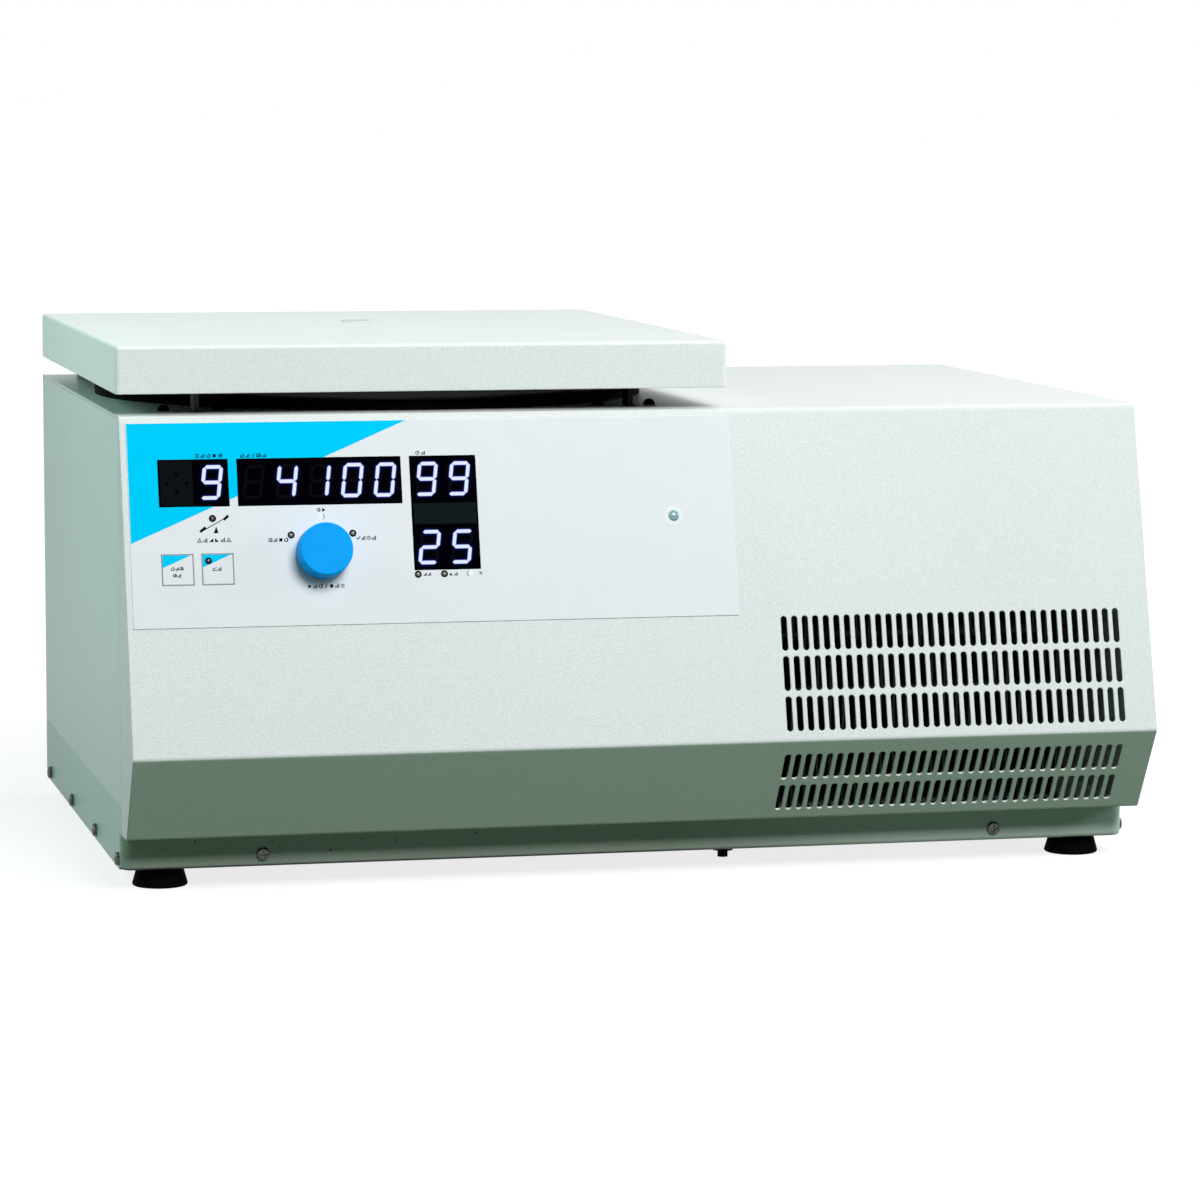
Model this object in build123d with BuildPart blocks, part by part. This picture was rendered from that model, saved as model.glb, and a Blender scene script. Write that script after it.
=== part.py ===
from build123d import *
import os
from math import cos, radians, sin

os.makedirs("parts", exist_ok=True)

# A benchtop refrigerated centrifuge for microplates: the rotor chamber stands on the left under a
# hinged lid, and the refrigeration bay on the right behind the vents.
# +X is to the right and -Y towards the user. The floor is z = 0, and x = y = 0 is the middle of the
# object's footprint. All sizes are in millimetres.


def write(piece, name):
    """Label a finished piece and write it as a node of its own."""
    piece.part.label = name
    export_step(piece.part, f"parts/{name}.step")


# ------------------------------------------------------------------ driving dimensions
# Cabinet. Sideways places on it are measured from its left side.
cabinet_w = 600.0
cabinet_d = 376.0  # from the top front edge to the back of the rear panel
front_overhang = 50.0  # the fold of the front stands this far ahead of the top front edge
lower_overhang = 18.8  # and the lower edge this far
foot_h = 12.0
lower_edge_z = 33.6
fold_z = 83.3
deck_z = 271.0
sheet = 1.5
top_bend_r = 3.5
fold_bend_r = 3.0
lower_bend_r = 2.5
seam = 0.15  # gap of a butted sheet joint
seam_set_back = 3.0  # joint between the front cover's cheeks and the side panels
cheek_room_w = 20.0

# Base pan
pan_sheet = 2.0
pan_corner_r = 4.0
plinth_set_back = 5.8
plinth_wrap = 6.8  # the plinth is flush with the side panels over this depth
plinth_corner_r = 6.5
plinth_bend_r = 2.5
pan_top_gap = 0.6
tab_gap = 0.1
tab_bend_r = 0.3
tab_rise = 3.5  # lower end of the front cover's screw tab, from the pan's underside

# Fasteners
screw_r = 1.95
screw_hole_r = 2.0
screw_clear_r = 2.2
screw_head_r = 3.85
screw_head_h = 2.5
screw_head_edge_r = 1.5
screw_l = 8.0
cross_l = 4.4
cross_w = 1.0
cross_depth = 1.4
side_screw_rise = 5.7  # screws, from the pan's underside
side_screws_from_front = (16.5, 120.0, 235.0, 351.0)
plinth_screw_rise = 7.5
plinth_screw_in = 81.3  # from the cabinet's side
rear_screw_rise = 11.0
rear_screw_in = 60.0

# Feet
foot_r = 16.3
foot_edge_r = 1.2
foot_top_r = 13.0
foot_in = 25.0  # foot axis from the cabinet's side
foot_from_front = 27.5  # foot axis from the top front edge, and from the back
foot_screw_r = 2.5
foot_screw_hole_r = 2.55
foot_screw_head_r = 4.2
foot_screw_head_h = 3.0
foot_recess_r = 5.0
foot_recess_h = 5.0
foot_screw_end = 6.0  # above the pan's floor

# Rear louvres and openings
louvre_depth = 6.0
louvre_h = 11.0
louvre_l = 150.0
louvre_pitch = 19.0
louvre_count = 6
louvre_from_left = 480.0
louvre_low_z = 118.0

# Vents of the front cover
vent_count = 33
vent_pitch = 6.28
vent_w = 3.7
vent_first = 378.3  # first slot from the cabinet's left side
front_vent_l = 20.2
front_vent_rows = 3
front_vent_first = 131.75  # middle of the first row, down the front from the top edge
front_vent_pitch = 23.35
lower_vent_l = 18.8
lower_vent_rows = 2
lower_vent_first = 19.4  # middle of the first row, down from the fold
lower_vent_pitch = 23.2

# Control foil and what shows in it. Places are from the left side and down the front.
foil_t = 0.5
foil_left, foil_right = 3.5, 352.0
foil_top, foil_bottom = 4.0, 120.5
cell_w = 18.74  # one digit of a display
window_top = 25.0
window_h = 27.0
tall_window_h = 65.5
program_left, program_w = 20.5, 39.8
speed_left, speed_w = 65.2, 93.7
timer_left, timer_w = 164.0, 38.2
window_gap = 0.1
window_back = 2.4  # depth of a window behind the cover's face
window_proud = 0.05
module_gap = 0.2
module_depth = 9.0
module_h = 26.0
module_w = 18.2
lower_digit_row = 39.2  # distance between the two rows of digits in the tall window
board_t = 1.6
board_left, board_right = 12.0, 212.0
board_top, board_bottom = 17.0, 104.0
pillar_r = 3.0
pillar_in = 4.0
led_r = 1.5
led_gap = 0.1
led_proud = 0.1
knob_x, knob_down = 112.0, 79.3
led_ring_r = 20.5
led_ring_angle = 59.0
imbalance_led = (50.3, 58.8)
timer_leds = ((165.9, 92.9), (181.0, 92.9), (196.1, 92.9))
status_lamp_place = (316.7, 62.0)
status_lamp_r = 2.5
status_lamp_proud = 0.8
status_lamp_edge_r = 0.7
status_lamp_flange_r = 4.0
status_lamp_back = 8.0

# Knob, its shaft and the encoder
knob_r = 15.4
knob_cap_r = 15.0
knob_h = 13.0
knob_foot_edge_r = 0.6
knob_crown_t = 3.0
knob_edge_r = 0.9
knob_push = 0.8
knob_clear = 0.4  # still free under the knob when it is pressed
shaft_r = 3.0
sleeve_r = 4.0
bearing_gap = 0.05
encoder_w = 16.0
encoder_wall = 1.0
encoder_back = 4.5  # the encoder's square case stops this far behind the front
shaft_end_gap = 0.2
bushing_r = 5.4
bushing_hole_r = 6.0

# Keys
key_w, key_h = 17.9, 17.6
key_top = 78.8
mode_key_left = 20.6
lid_key_left = 43.2
key_gap = 0.15
key_flange = 1.2
key_flange_t = 1.0
key_under_gap = 0.1
key_proud = 0.1
key_travel = 0.4
key_rest_gap = 0.05
key_stem_r = 2.0
switch_w = 8.0
switch_h = 7.0
switch_case_h = 4.2

# Lid
lid_w = 353.5
lid_overhang = 1.0  # past the cabinet's left side
lid_d = 367.0
lid_set_back = 2.3
lid_gap = 12.2
lid_h = 27.0
lid_corner_r = 2.5
lid_edge_r = 2.0
lid_panel_gap = 0.1
liner_edge_r = 2.0
foam_gap = 0.15
port_y_behind = 59.0  # sight port's place from the middle of the chamber
port_x_right = 4.0
port_glass_r = 8.0
port_tube_r = 8.8
port_rim_r = 9.8
port_rim_h = 0.8
port_rim_edge_r = 0.5
port_glass_in = 0.5
port_glass_t = 2.5

# Hinge along the back of the lid
hinge_from_back = 5.0  # axis from the lid's back edge
hinge_l = 311.0
hinge_knuckles = 9
hinge_r = 4.2
hinge_pin_r = 2.0
hinge_leaf_w = 6.0
hinge_leaf_t = 1.8
hinge_web = 2.0
hinge_end_gap = 0.2
hinge_fit = 0.02
hinge_running = 0.06

# Lid lock: two strikers under the lid, and a hook for each below the deck
striker_x = 127.0  # from the middle of the lid
striker_from_front = 40.0
striker_t = 3.0
striker_d = 14.0
striker_drop = 33.0  # its lower end, below the deck
striker_foot_l = 22.0
striker_foot_w = 12.0
striker_foot_t = 1.5
striker_foot_corner_r = 2.0
striker_nose = 4.0
striker_heel = 2.0
notch_d = 6.0
notch_drop = 23.7
notch_h = 8.2
slot_side_gap = 2.0
slot_front_gap, slot_back_gap = 5.5, 3.5
buffer_offsets = (-18.0, 13.0)  # from the middle of a striker
buffer_r = 3.5
buffer_h = 3.5
buffer_edge_r = 3.1
hook_pivot_behind = 14.0  # hook pivot from the middle of the striker
hook_pivot_drop = 39.0
hook_t = 6.0
hook_r = 5.0
hook_release = 22.0  # degrees that the hook stands back when released
hook_pin_r = 2.5
hook_arm_w = 3.0  # half width of the arm at its pivot
hook_arm_top = 2.0
hook_nose_h = 6.0
hook_nose_gap = 0.7  # between the engaged nose and the notch below it
hook_nose_end_gap = 0.5
hook_nose_slope = 1.5
hook_nose_slope_d = 2.0
bracket_t = 1.5
bracket_gap = 1.5
bracket_front_gap, bracket_back = 0.5, 2.0
actuator_w, actuator_d, actuator_h = 24.0, 20.0, 34.0
actuator_rise = 6.0
actuator_corner_r = 3.0

# Chamber
bowl_r = 150.0
deck_hole_gap = 10.0  # the deck's opening stands this far outside the bowl
bowl_t = 1.0
bowl_depth = 115.0  # from the deck to the bowl's floor
bowl_corner_r = 12.0
collar_bend_r = 2.0
bowl_flange_r = 166.0
bowl_drain_hole_r = 32.0
collar_h = 10.0
gasket_gap = 1.5
gasket_fit = 0.3
gasket_w = 13.5
gasket_h = 5.5
gasket_edge_r = 2.0
liner_r = 167.0
liner_gap = 0.3
coil_r = 3.1
coil_gap = 0.4
coil_turns = 7
coil_pitch = 13.0
coil_low = 14.0
insulation_t = 14.0
insulation_floor_t = 16.0
insulation_hole_r = 42.0

# Rotor
pivot_radius = 75.0  # swing axis of a carrier from the shaft's axis
pivot_depth = 52.0  # below the deck
plate_l, plate_w = 127.76, 85.48  # standard microplate
plate_gap = 0.4
carrier_wall = 2.0
carrier_end = 2.5
carrier_drop = 30.0
carrier_h = 16.0
carrier_corner_r = 3.0
pocket_corner_r = 1.5
pocket_end_gap = 0.12  # more than the gap at the sides
ear_foot = 2.0
ear_w = 40.0
ear_rise = 8.0
boss_r = 8.0
boss_t = 3.5
boss_gap = 1.0
pin_r = 4.0
pin_fit = 0.02
pin_running = 0.06
pin_grip = 4.8
pin_end_gap = 0.3
rail_t = 9.0
rail_h = 20.0
rail_below = 12.0
rail_end = 11.0
rail_corner_r = 4.05
crossbar_w = 46.0
hub_r = 22.0
hub_below = 29.0
hub_above = 16.0
drive_r = 10.0
drive_end_gap = 0.5
drive_chamfer = 1.0
drive_foot_gap = 10.0
lock_screw_r = 15.0
lock_screw_h = 12.0
lock_flute_count = 6
lock_flute_r = 4.0
lock_flute_out = 1.5
lock_chamfer = 1.0
lock_thread_r = 4.0
lock_thread_l = 18.0
lock_thread_gap = 2.0

# Motor
mount_r = 16.0
mount_h = 24.0
mount_taper = 8.0
mount_circle_r = 82.0
motor_flange_r = 104.0
motor_flange_t = 6.0
motor_flange_chamfer = 1.0
motor_r = 62.0
motor_headroom = 10.85  # below the chamber's insulation
motor_nose_r = 20.0
motor_nose_h = 10.0
motor_floor = 5.0
motor_chamfer = 6.0
motor_rib_count = 24
motor_groove = 4.0
motor_groove_low = 8.0
motor_groove_end = 12.0
motor_running = 0.06
boot_t = 2.0
boot_lip_r = 11.5
boot_gap = 0.1
boot_lip_h = 4.0
boot_low_h = 2.0
boot_foot_t = 5.0

# Refrigeration bay
bulkhead_from_left = 352.0
bulkhead_t = 1.2
bulkhead_foot = 14.0
bulkhead_from_front = 26.0
bulkhead_foot_from_front = 54.0
bulkhead_foot_l = 188.0
bay_from_left = 475.0  # middle of the condenser, fan and compressor
condenser_w = 180.0
condenser_d = 40.0
condenser_h = 138.0
condenser_from_front = 46.0
condenser_plate_t = 1.5
fin_in = 2.0  # from the plates' edges to the fins' edges at the sides
fin_end = 4.0
fin_count = 22
fin_t = 1.2
tube_r = 4.0
tube_rows = 4
shroud_t = 1.2
fan_w = 120.0
fan_d = 38.0
fan_bore_r = 57.0
fan_corner_r = 6.0
fan_hub_r = 22.0
fan_tip_r = 54.5
fan_axle_r = 3.0
fan_strut_w = 6.0
fan_strut_t = 5.0
blade_count = 7
blade_w = 26.0
blade_t = 2.0
blade_tilt = 35.0
blade_root = 3.0
blade_edge_r = 0.98
impeller_d = 24.0
impeller_gap = 1.0
fan_strut_root = 1.0
compressor_r = 62.0
compressor_from_back = 150.0
compressor_h = 150.0
compressor_foot_w, compressor_foot_d, compressor_foot_t = 160.0, 120.0, 3.0
compressor_foot_corner_r = 10.0
compressor_dome_r = 30.0
grommet_r = 9.0
grommet_h = 10.0
grommet_in = 12.0
pipe_r = 3.0
pipe_bend_r = 10.0
pipe_end_gap = 0.3
drier_r = 10.0
drier_l = 70.0
drier_behind = 25.0  # behind the compressor's foot
drier_rise = 30.0
pipe_out = 16.0
pipe_root = 4.0
hot_pipe_rise = 96.0  # above the pan's floor
hot_pipe_drop = 20.0
cold_pipe_rise = 126.0
cold_pipe_out = 32.0
cold_pipe_end = 16.0

# Power board on the bulkhead
power_board_stand = 10.0
power_board_from_back = 72.0
power_board_drop = 59.0  # below the deck
power_board_l, power_board_h = 116.0, 86.0
power_pillar_in = 5.0
# what stands on it: place along and up from its middle, size along and up, and height
power_blocks = ((-30.0, 15.0, 36.0, 32.0, 26.0), (0.0, -26.0, 90.0, 14.0, 16.0))
capacitor_places = ((12.0, 20.0), (36.0, 20.0))
capacitor_r = 10.0
capacitor_h = 30.0

# Mains inlet with switch, in the rear panel
inlet_from_left = 515.0
inlet_z = 70.0
inlet_w, inlet_h = 80.0, 34.0
inlet_flange_t = 3.0
inlet_corner_r = 3.0
inlet_body_w, inlet_body_h, inlet_body_d = 72.0, 28.0, 26.0
inlet_gap = 0.2
socket_w, socket_h, socket_depth = 24.4, 16.6, 18.0
socket_from_middle = 19.0
blade_pin_w, blade_pin_h, blade_pin_l = 2.0, 4.0, 11.0
blade_pin_spread = 7.0
blade_pin_step = 2.0
rocker_w, rocker_h = 14.0, 20.8
rocker_gap = 0.5
rocker_depth = 14.0
rocker_throw = 12.0  # degrees to each side of the middle
rocker_pin_r = 2.0
rocker_pin_l = 1.6  # beyond the cavity's wall on each side
rocker_pin_hole_l = 2.0
rocker_pivot_in = 3.2  # behind the inlet's face
rocker_hollow = 2.4  # the face at its middle, from the pivot
rocker_tip = 4.2  # the face at its ends, from the pivot
rocker_back = 6.4  # the back of the rocker, behind the pivot

# Condensate drain under the plinth
drain_from_left = 355.6
drain_from_front = 16.0
drain_r = 3.0
drain_bore_r = 1.6
drain_flange_r = 6.0
drain_flange_t = 1.5
drain_bottom_z = 6.5
drain_end = 4.0  # above the pan's floor

# ------------------------------------------------------------------ places worked out from them
half_w = cabinet_w / 2
total_d = front_overhang + cabinet_d + louvre_depth
front_y = front_overhang - total_d / 2
back_y = front_y + cabinet_d
deck_under_z = deck_z - sheet

pan_front_y = front_y + plinth_set_back
wrap_y = pan_front_y + plinth_wrap
pan_back_y = back_y - sheet
pan_mid_y = (pan_front_y + pan_back_y) / 2
pan_w = cabinet_w - 2 * sheet
pan_d = pan_back_y - pan_front_y
pan_floor_z = foot_h + pan_sheet
pan_top_z = lower_edge_z - pan_top_gap
tab_z = foot_h + tab_rise
foot_screw_top_z = pan_floor_z + foot_screw_end
drain_top_z = pan_floor_z + drain_end
tab_y = pan_front_y + pan_sheet + tab_gap
seam_y = front_y + seam_set_back

lid_x = -half_w - lid_overhang + lid_w / 2
lid_front_y = front_y + lid_set_back
lid_y = lid_front_y + lid_d / 2
lid_z = deck_z + lid_gap
lid_top_z = lid_z + lid_h
chamber = Vector(lid_x, lid_y, 0)
pivot_z = deck_z - pivot_depth
striker_bottom_z = deck_z - striker_drop
notch_low_z = deck_z - notch_drop
hook_pivot_z = deck_z - hook_pivot_drop

bulkhead_x = bulkhead_from_left - half_w
bulkhead_front_y = front_y + bulkhead_from_front
bay_x = bay_from_left - half_w
condenser_y = front_y + condenser_from_front
compressor_y = back_y - compressor_from_back
hot_pipe_z = pan_floor_z + hot_pipe_rise
cold_pipe_z = pan_floor_z + cold_pipe_rise
louvre_x = louvre_from_left - half_w
inlet_x = inlet_from_left - half_w
drain_x = drain_from_left - half_w

front_drop = deck_z - fold_z
front_down = Vector(0, -front_overhang, -front_drop).normalized()
front_out = Vector(0, front_down.Z, -front_down.Y)
front_plane = Plane(origin=(0, front_y, deck_z), x_dir=(1, 0, 0), z_dir=front_out)
lower_down = Vector(0, front_overhang - lower_overhang, lower_edge_z - fold_z).normalized()
lower_out = Vector(0, lower_down.Z, -lower_down.Y)
fold_y = front_y - front_overhang
lower_plane = Plane(origin=(0, fold_y, fold_z), x_dir=(1, 0, 0), z_dir=lower_out)


def front_place(left, down, out=0.0):
    """A place in the front plane's own axes, from the cabinet's left side and down the front."""
    return (left - half_w, -down, out)


def upright(x, y, z, towards):
    """A plane at a point, facing a level direction, with its own y axis straight up."""
    return Plane(origin=(x, y, z), x_dir=Vector(0, 0, 1).cross(Vector(*towards)), z_dir=towards)


def tilted(x, y, z, degrees_back):
    """A plane facing +X at a point, turned about X so that its y axis leans back towards +Y."""
    lean = radians(degrees_back)
    return Plane(origin=(x, y, z), x_dir=(0, cos(lean), -sin(lean)), z_dir=(1, 0, 0))


foot_places = [
    (side * (half_w - foot_in), y)
    for side in (-1, 1)
    for y in (front_y + foot_from_front, back_y - foot_from_front)
]
side_screw_places = [
    upright(side * half_w, front_y + y, foot_h + side_screw_rise, (side, 0, 0))
    for side in (-1, 1)
    for y in side_screws_from_front
]
plinth_screw_places = [
    upright(side * (half_w - plinth_screw_in), pan_front_y, foot_h + plinth_screw_rise, (0, -1, 0))
    for side in (-1, 1)
]
rear_screw_places = [
    upright(side * (half_w - rear_screw_in), back_y, foot_h + rear_screw_rise, (0, 1, 0))
    for side in (-1, 1)
]
screw_places = side_screw_places + plinth_screw_places + rear_screw_places
drain_y = front_y + drain_from_front

# ------------------------------------------------------------------ base, feet and fasteners
with BuildPart() as base_pan:
    with BuildSketch(Plane.XY.offset(foot_h)) as plinth:
        with Locations((0, pan_front_y)):
            Rectangle(cabinet_w, plinth_wrap, align=(Align.CENTER, Align.MIN))
        fillet(plinth.vertices().group_by(Axis.Y)[0], plinth_corner_r)
    extrude(amount=pan_top_z - foot_h)
    fillet(base_pan.edges().group_by(Axis.Z)[0].sort_by(Axis.Y)[:-1], plinth_bend_r)
    with BuildSketch(Plane.XY.offset(foot_h)) as tray:
        with Locations((0, wrap_y)):
            Rectangle(pan_w, pan_back_y - wrap_y, align=(Align.CENTER, Align.MIN))
        fillet(tray.vertices().group_by(Axis.Y)[-1], pan_corner_r)
    extrude(amount=pan_top_z - foot_h)
    with BuildSketch(Plane.XY.offset(pan_floor_z)):
        with Locations((0, pan_mid_y)):
            RectangleRounded(pan_w - 2 * pan_sheet, pan_d - 2 * pan_sheet, pan_corner_r - pan_sheet)
    extrude(amount=pan_top_z, mode=Mode.SUBTRACT)
    with BuildSketch(Plane.XY.offset(foot_h)):
        with Locations(*foot_places):
            Circle(foot_screw_hole_r)
        with Locations((drain_x, drain_y)):
            Circle(drain_r + hinge_fit)
    extrude(amount=pan_sheet, mode=Mode.SUBTRACT)
    with Locations(*screw_places):
        Hole(screw_hole_r, depth=screw_l + sheet)
write(base_pan, "base_pan")

with BuildPart() as rubber_feet:
    with Locations(*foot_places):
        Cone(foot_r, foot_top_r, foot_h, align=(Align.CENTER, Align.CENTER, Align.MIN))
    fillet(rubber_feet.edges().group_by(Axis.Z)[0], foot_edge_r)
    with Locations(*foot_places):
        Cylinder(foot_screw_hole_r, 3 * foot_h, mode=Mode.SUBTRACT)
        Cylinder(foot_recess_r, 2 * foot_recess_h, mode=Mode.SUBTRACT)
write(rubber_feet, "rubber_feet")

with BuildPart() as foot_screws:
    with BuildSketch(Plane.XY.offset(foot_recess_h)):
        with Locations(*foot_places):
            Circle(foot_screw_head_r)
    extrude(amount=-foot_screw_head_h)
    with BuildSketch(Plane.XY.offset(foot_recess_h)):
        with Locations(*foot_places):
            Circle(foot_screw_r)
    extrude(amount=foot_screw_top_z - foot_recess_h)
write(foot_screws, "foot_screws")

with BuildPart() as drain_spout:
    with BuildSketch(Plane.XY.offset(drain_bottom_z)):
        with Locations((drain_x, drain_y)):
            Circle(drain_r)
    extrude(amount=drain_top_z - drain_bottom_z)
    with BuildSketch(Plane.XY.offset(foot_h)):
        with Locations((drain_x, drain_y)):
            Circle(drain_flange_r)
    extrude(amount=-drain_flange_t)
    with Locations((drain_x, drain_y, drain_top_z)):
        Hole(drain_bore_r, depth=drain_top_z)
write(drain_spout, "drain_spout")


def pan_head_screw():
    """A pan head screw with a cross recess; the head's underside is at z = 0 and the shank below."""
    with BuildPart() as screw:
        with BuildSketch():
            Circle(screw_head_r)
        extrude(amount=screw_head_h)
        fillet(screw.edges().group_by(Axis.Z)[-1], screw_head_edge_r)
        with BuildSketch():
            Circle(screw_r)
        extrude(amount=-screw_l)
        with BuildSketch(Plane.XY.offset(screw_head_h)):
            Rectangle(cross_l, cross_w)
            Rectangle(cross_w, cross_l)
        extrude(amount=-cross_depth, mode=Mode.SUBTRACT)
    return screw.part


cover_screw = pan_head_screw()
with BuildPart() as cover_screws:
    with Locations(*screw_places):
        add(cover_screw)
write(cover_screws, "cover_screws")

# ------------------------------------------------------------------ cabinet panels
cover_path = [
    (back_y, deck_z),
    (front_y, deck_z),
    (fold_y, fold_z),
    (front_y - lower_overhang, lower_edge_z),
    (tab_y, lower_edge_z),
    (tab_y, tab_z),
]
cover_bends = (top_bend_r, fold_bend_r, lower_bend_r)


def window_edges():
    """The left edge, top, width and height of each display window."""
    return (
        (program_left, window_top, program_w, window_h),
        (speed_left, window_top, speed_w, window_h),
        (timer_left, window_top, timer_w, tall_window_h),
    )


def draw_windows(margin):
    """Draw the display windows in the sketch of the front, larger by a margin all round."""
    for left, top, width, height in window_edges():
        with Locations(front_place(left + width / 2, top + height / 2)[:2]):
            Rectangle(width + 2 * margin, height + 2 * margin)


key_places = {
    "mode_key": front_place(mode_key_left + key_w / 2, key_top + key_h / 2)[:2],
    "lid_key": front_place(lid_key_left + key_w / 2, key_top + key_h / 2)[:2],
}
ring_leds = [
    (knob_x + led_ring_r * sin(radians(a)), knob_down - led_ring_r * cos(radians(a)))
    for a in (-led_ring_angle, 0, led_ring_angle)
]
led_places = [front_place(*place)[:2] for place in (*ring_leds, imbalance_led, *timer_leds)]
knob_place = front_place(knob_x, knob_down)[:2]


def draw_front_cutouts():
    """Draw every opening that the front cover and the foil share."""
    draw_windows(window_gap)
    with Locations(*key_places.values()):
        Rectangle(key_w + 2 * key_gap, key_h + 2 * key_gap)
    with Locations(*led_places):
        Circle(led_r + led_gap)
    with Locations(front_place(*status_lamp_place)[:2]):
        Circle(status_lamp_r + led_gap)
    with Locations(knob_place):
        Circle(bushing_hole_r)


vent_middle = vent_first + vent_pitch * (vent_count - 1) / 2
striker_y = front_y + striker_from_front
striker_places = [(lid_x + side * striker_x, striker_y) for side in (-1, 1)]

with BuildPart() as front_cover:
    with BuildSketch(Plane.YZ.offset(-half_w)):
        with BuildLine():
            FilletPolyline(*cover_path, radius=(*cover_bends, tab_bend_r))
            offset(amount=sheet, side=Side.LEFT)
        make_face()
    extrude(amount=cabinet_w)
    for side in (-1, 1):
        with BuildSketch(Plane.YZ.offset(side * half_w)):
            with BuildLine():
                FilletPolyline(
                    (seam_y, deck_z), *cover_path[1:4], (seam_y, lower_edge_z), radius=cover_bends
                )
                Line((seam_y, lower_edge_z), (seam_y, deck_z))
            make_face()
        extrude(amount=-side * sheet)
        # room for the side panel and the pan's flange behind the cheek
        with BuildSketch(Plane.XZ.offset(-seam_y)):
            with Locations((side * half_w, 0)):
                Rectangle(cheek_room_w, 2 * deck_under_z)
        extrude(amount=-pan_d, mode=Mode.SUBTRACT)
    with BuildSketch(Plane.XY.offset(deck_z)):
        with Locations((chamber.X, chamber.Y)):
            Circle(bowl_r + deck_hole_gap)
        with Locations(*[(x, y + (slot_back_gap - slot_front_gap) / 2) for x, y in striker_places]):
            Rectangle(striker_t + 2 * slot_side_gap, striker_d + slot_front_gap + slot_back_gap)
    extrude(amount=-2 * sheet, mode=Mode.SUBTRACT)
    with BuildSketch(front_plane):
        draw_front_cutouts()
        for row in range(front_vent_rows):
            down = front_vent_first + row * front_vent_pitch
            with Locations(front_place(vent_middle, down)[:2]):
                with GridLocations(vent_pitch, 1, vent_count, 1):
                    SlotOverall(front_vent_l, vent_w, rotation=90)
    extrude(amount=-2 * sheet, mode=Mode.SUBTRACT)
    with BuildSketch(lower_plane):
        for row in range(lower_vent_rows):
            down = lower_vent_first + row * lower_vent_pitch
            with Locations(front_place(vent_middle, down)[:2]):
                with GridLocations(vent_pitch, 1, vent_count, 1):
                    SlotOverall(lower_vent_l, vent_w, rotation=90)
    extrude(amount=-2 * sheet, mode=Mode.SUBTRACT)
    with Locations(*plinth_screw_places):
        Hole(screw_hole_r, depth=screw_l + sheet)
write(front_cover, "front_cover")

for side, name in ((-1, "left_side_panel"), (1, "right_side_panel")):
    with BuildPart() as side_panel:
        with BuildSketch(Plane.YZ.offset(side * half_w)):
            with Locations((seam_y + seam, foot_h)):
                Rectangle(back_y - seam_y - seam, deck_under_z - seam - foot_h, align=Align.MIN)
            # the corner of the plinth
            with Locations((seam_y, foot_h)):
                corner_w, corner_h = wrap_y + seam - seam_y, pan_top_z + seam - foot_h
                Rectangle(corner_w, corner_h, align=Align.MIN, mode=Mode.SUBTRACT)
        extrude(amount=-side * sheet)
        with Locations(*side_screw_places):
            Hole(screw_clear_r, depth=2 * sheet)
    write(side_panel, name)

rear_panel_w = cabinet_w - 2 * sheet - 2 * seam
with BuildPart() as rear_panel:
    with BuildSketch(Plane.XZ.offset(-back_y)):
        with Locations((0, foot_h)):
            Rectangle(rear_panel_w, deck_under_z - seam - foot_h, align=(Align.CENTER, Align.MIN))
        with Locations((inlet_x, inlet_z)):
            Rectangle(inlet_body_w + 2 * inlet_gap, inlet_body_h + 2 * inlet_gap, mode=Mode.SUBTRACT)
    extrude(amount=sheet)
    for row in range(louvre_count):
        low_z = louvre_low_z + row * louvre_pitch
        with BuildSketch(Plane.YZ.offset(louvre_x - louvre_l / 2)):
            with BuildLine():
                Polyline(
                    (back_y, low_z), (back_y + louvre_depth, low_z), (back_y, low_z + louvre_h), close=True
                )
            make_face()
        extrude(amount=louvre_l)
        with BuildSketch(Plane.YZ.offset(louvre_x - louvre_l / 2 + sheet)):
            with BuildLine():
                Polyline(
                    (back_y - 2 * sheet, low_z),
                    (back_y + louvre_depth - sheet, low_z),
                    (back_y, low_z + louvre_h - 2 * sheet),
                    (back_y - 2 * sheet, low_z + louvre_h - 2 * sheet),
                    close=True,
                )
            make_face()
        extrude(amount=louvre_l - 2 * sheet, mode=Mode.SUBTRACT)
    with Locations(*rear_screw_places):
        Hole(screw_clear_r, depth=2 * sheet)
write(rear_panel, "rear_panel")

with BuildPart() as bulkhead:
    with BuildSketch(Plane.XY.offset(pan_floor_z)):
        with Locations((bulkhead_x, bulkhead_front_y)):
            Rectangle(bulkhead_t, pan_back_y - pan_sheet - bulkhead_front_y, align=Align.MIN)
    extrude(amount=deck_under_z - pan_floor_z)
    with BuildSketch(Plane.XY.offset(pan_floor_z)):
        with Locations((bulkhead_x, front_y + bulkhead_foot_from_front)):
            Rectangle(bulkhead_foot, bulkhead_foot_l, align=Align.MIN)
    extrude(amount=bulkhead_t)
write(bulkhead, "bulkhead")

# ------------------------------------------------------------------ control panel
with BuildPart() as front_overlay:
    with BuildSketch(front_plane):
        with Locations(front_place((foil_left + foil_right) / 2, (foil_top + foil_bottom) / 2)[:2]):
            Rectangle(foil_right - foil_left, foil_bottom - foil_top)
    extrude(amount=foil_t)
    with BuildSketch(front_plane):
        draw_front_cutouts()
    extrude(amount=foil_t, mode=Mode.SUBTRACT)
write(front_overlay, "front_overlay")

with BuildPart() as display_windows:
    with BuildSketch(front_plane.offset(-window_back)):
        draw_windows(0)
    extrude(amount=window_back + foil_t + window_proud)
write(display_windows, "display_windows")

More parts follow.
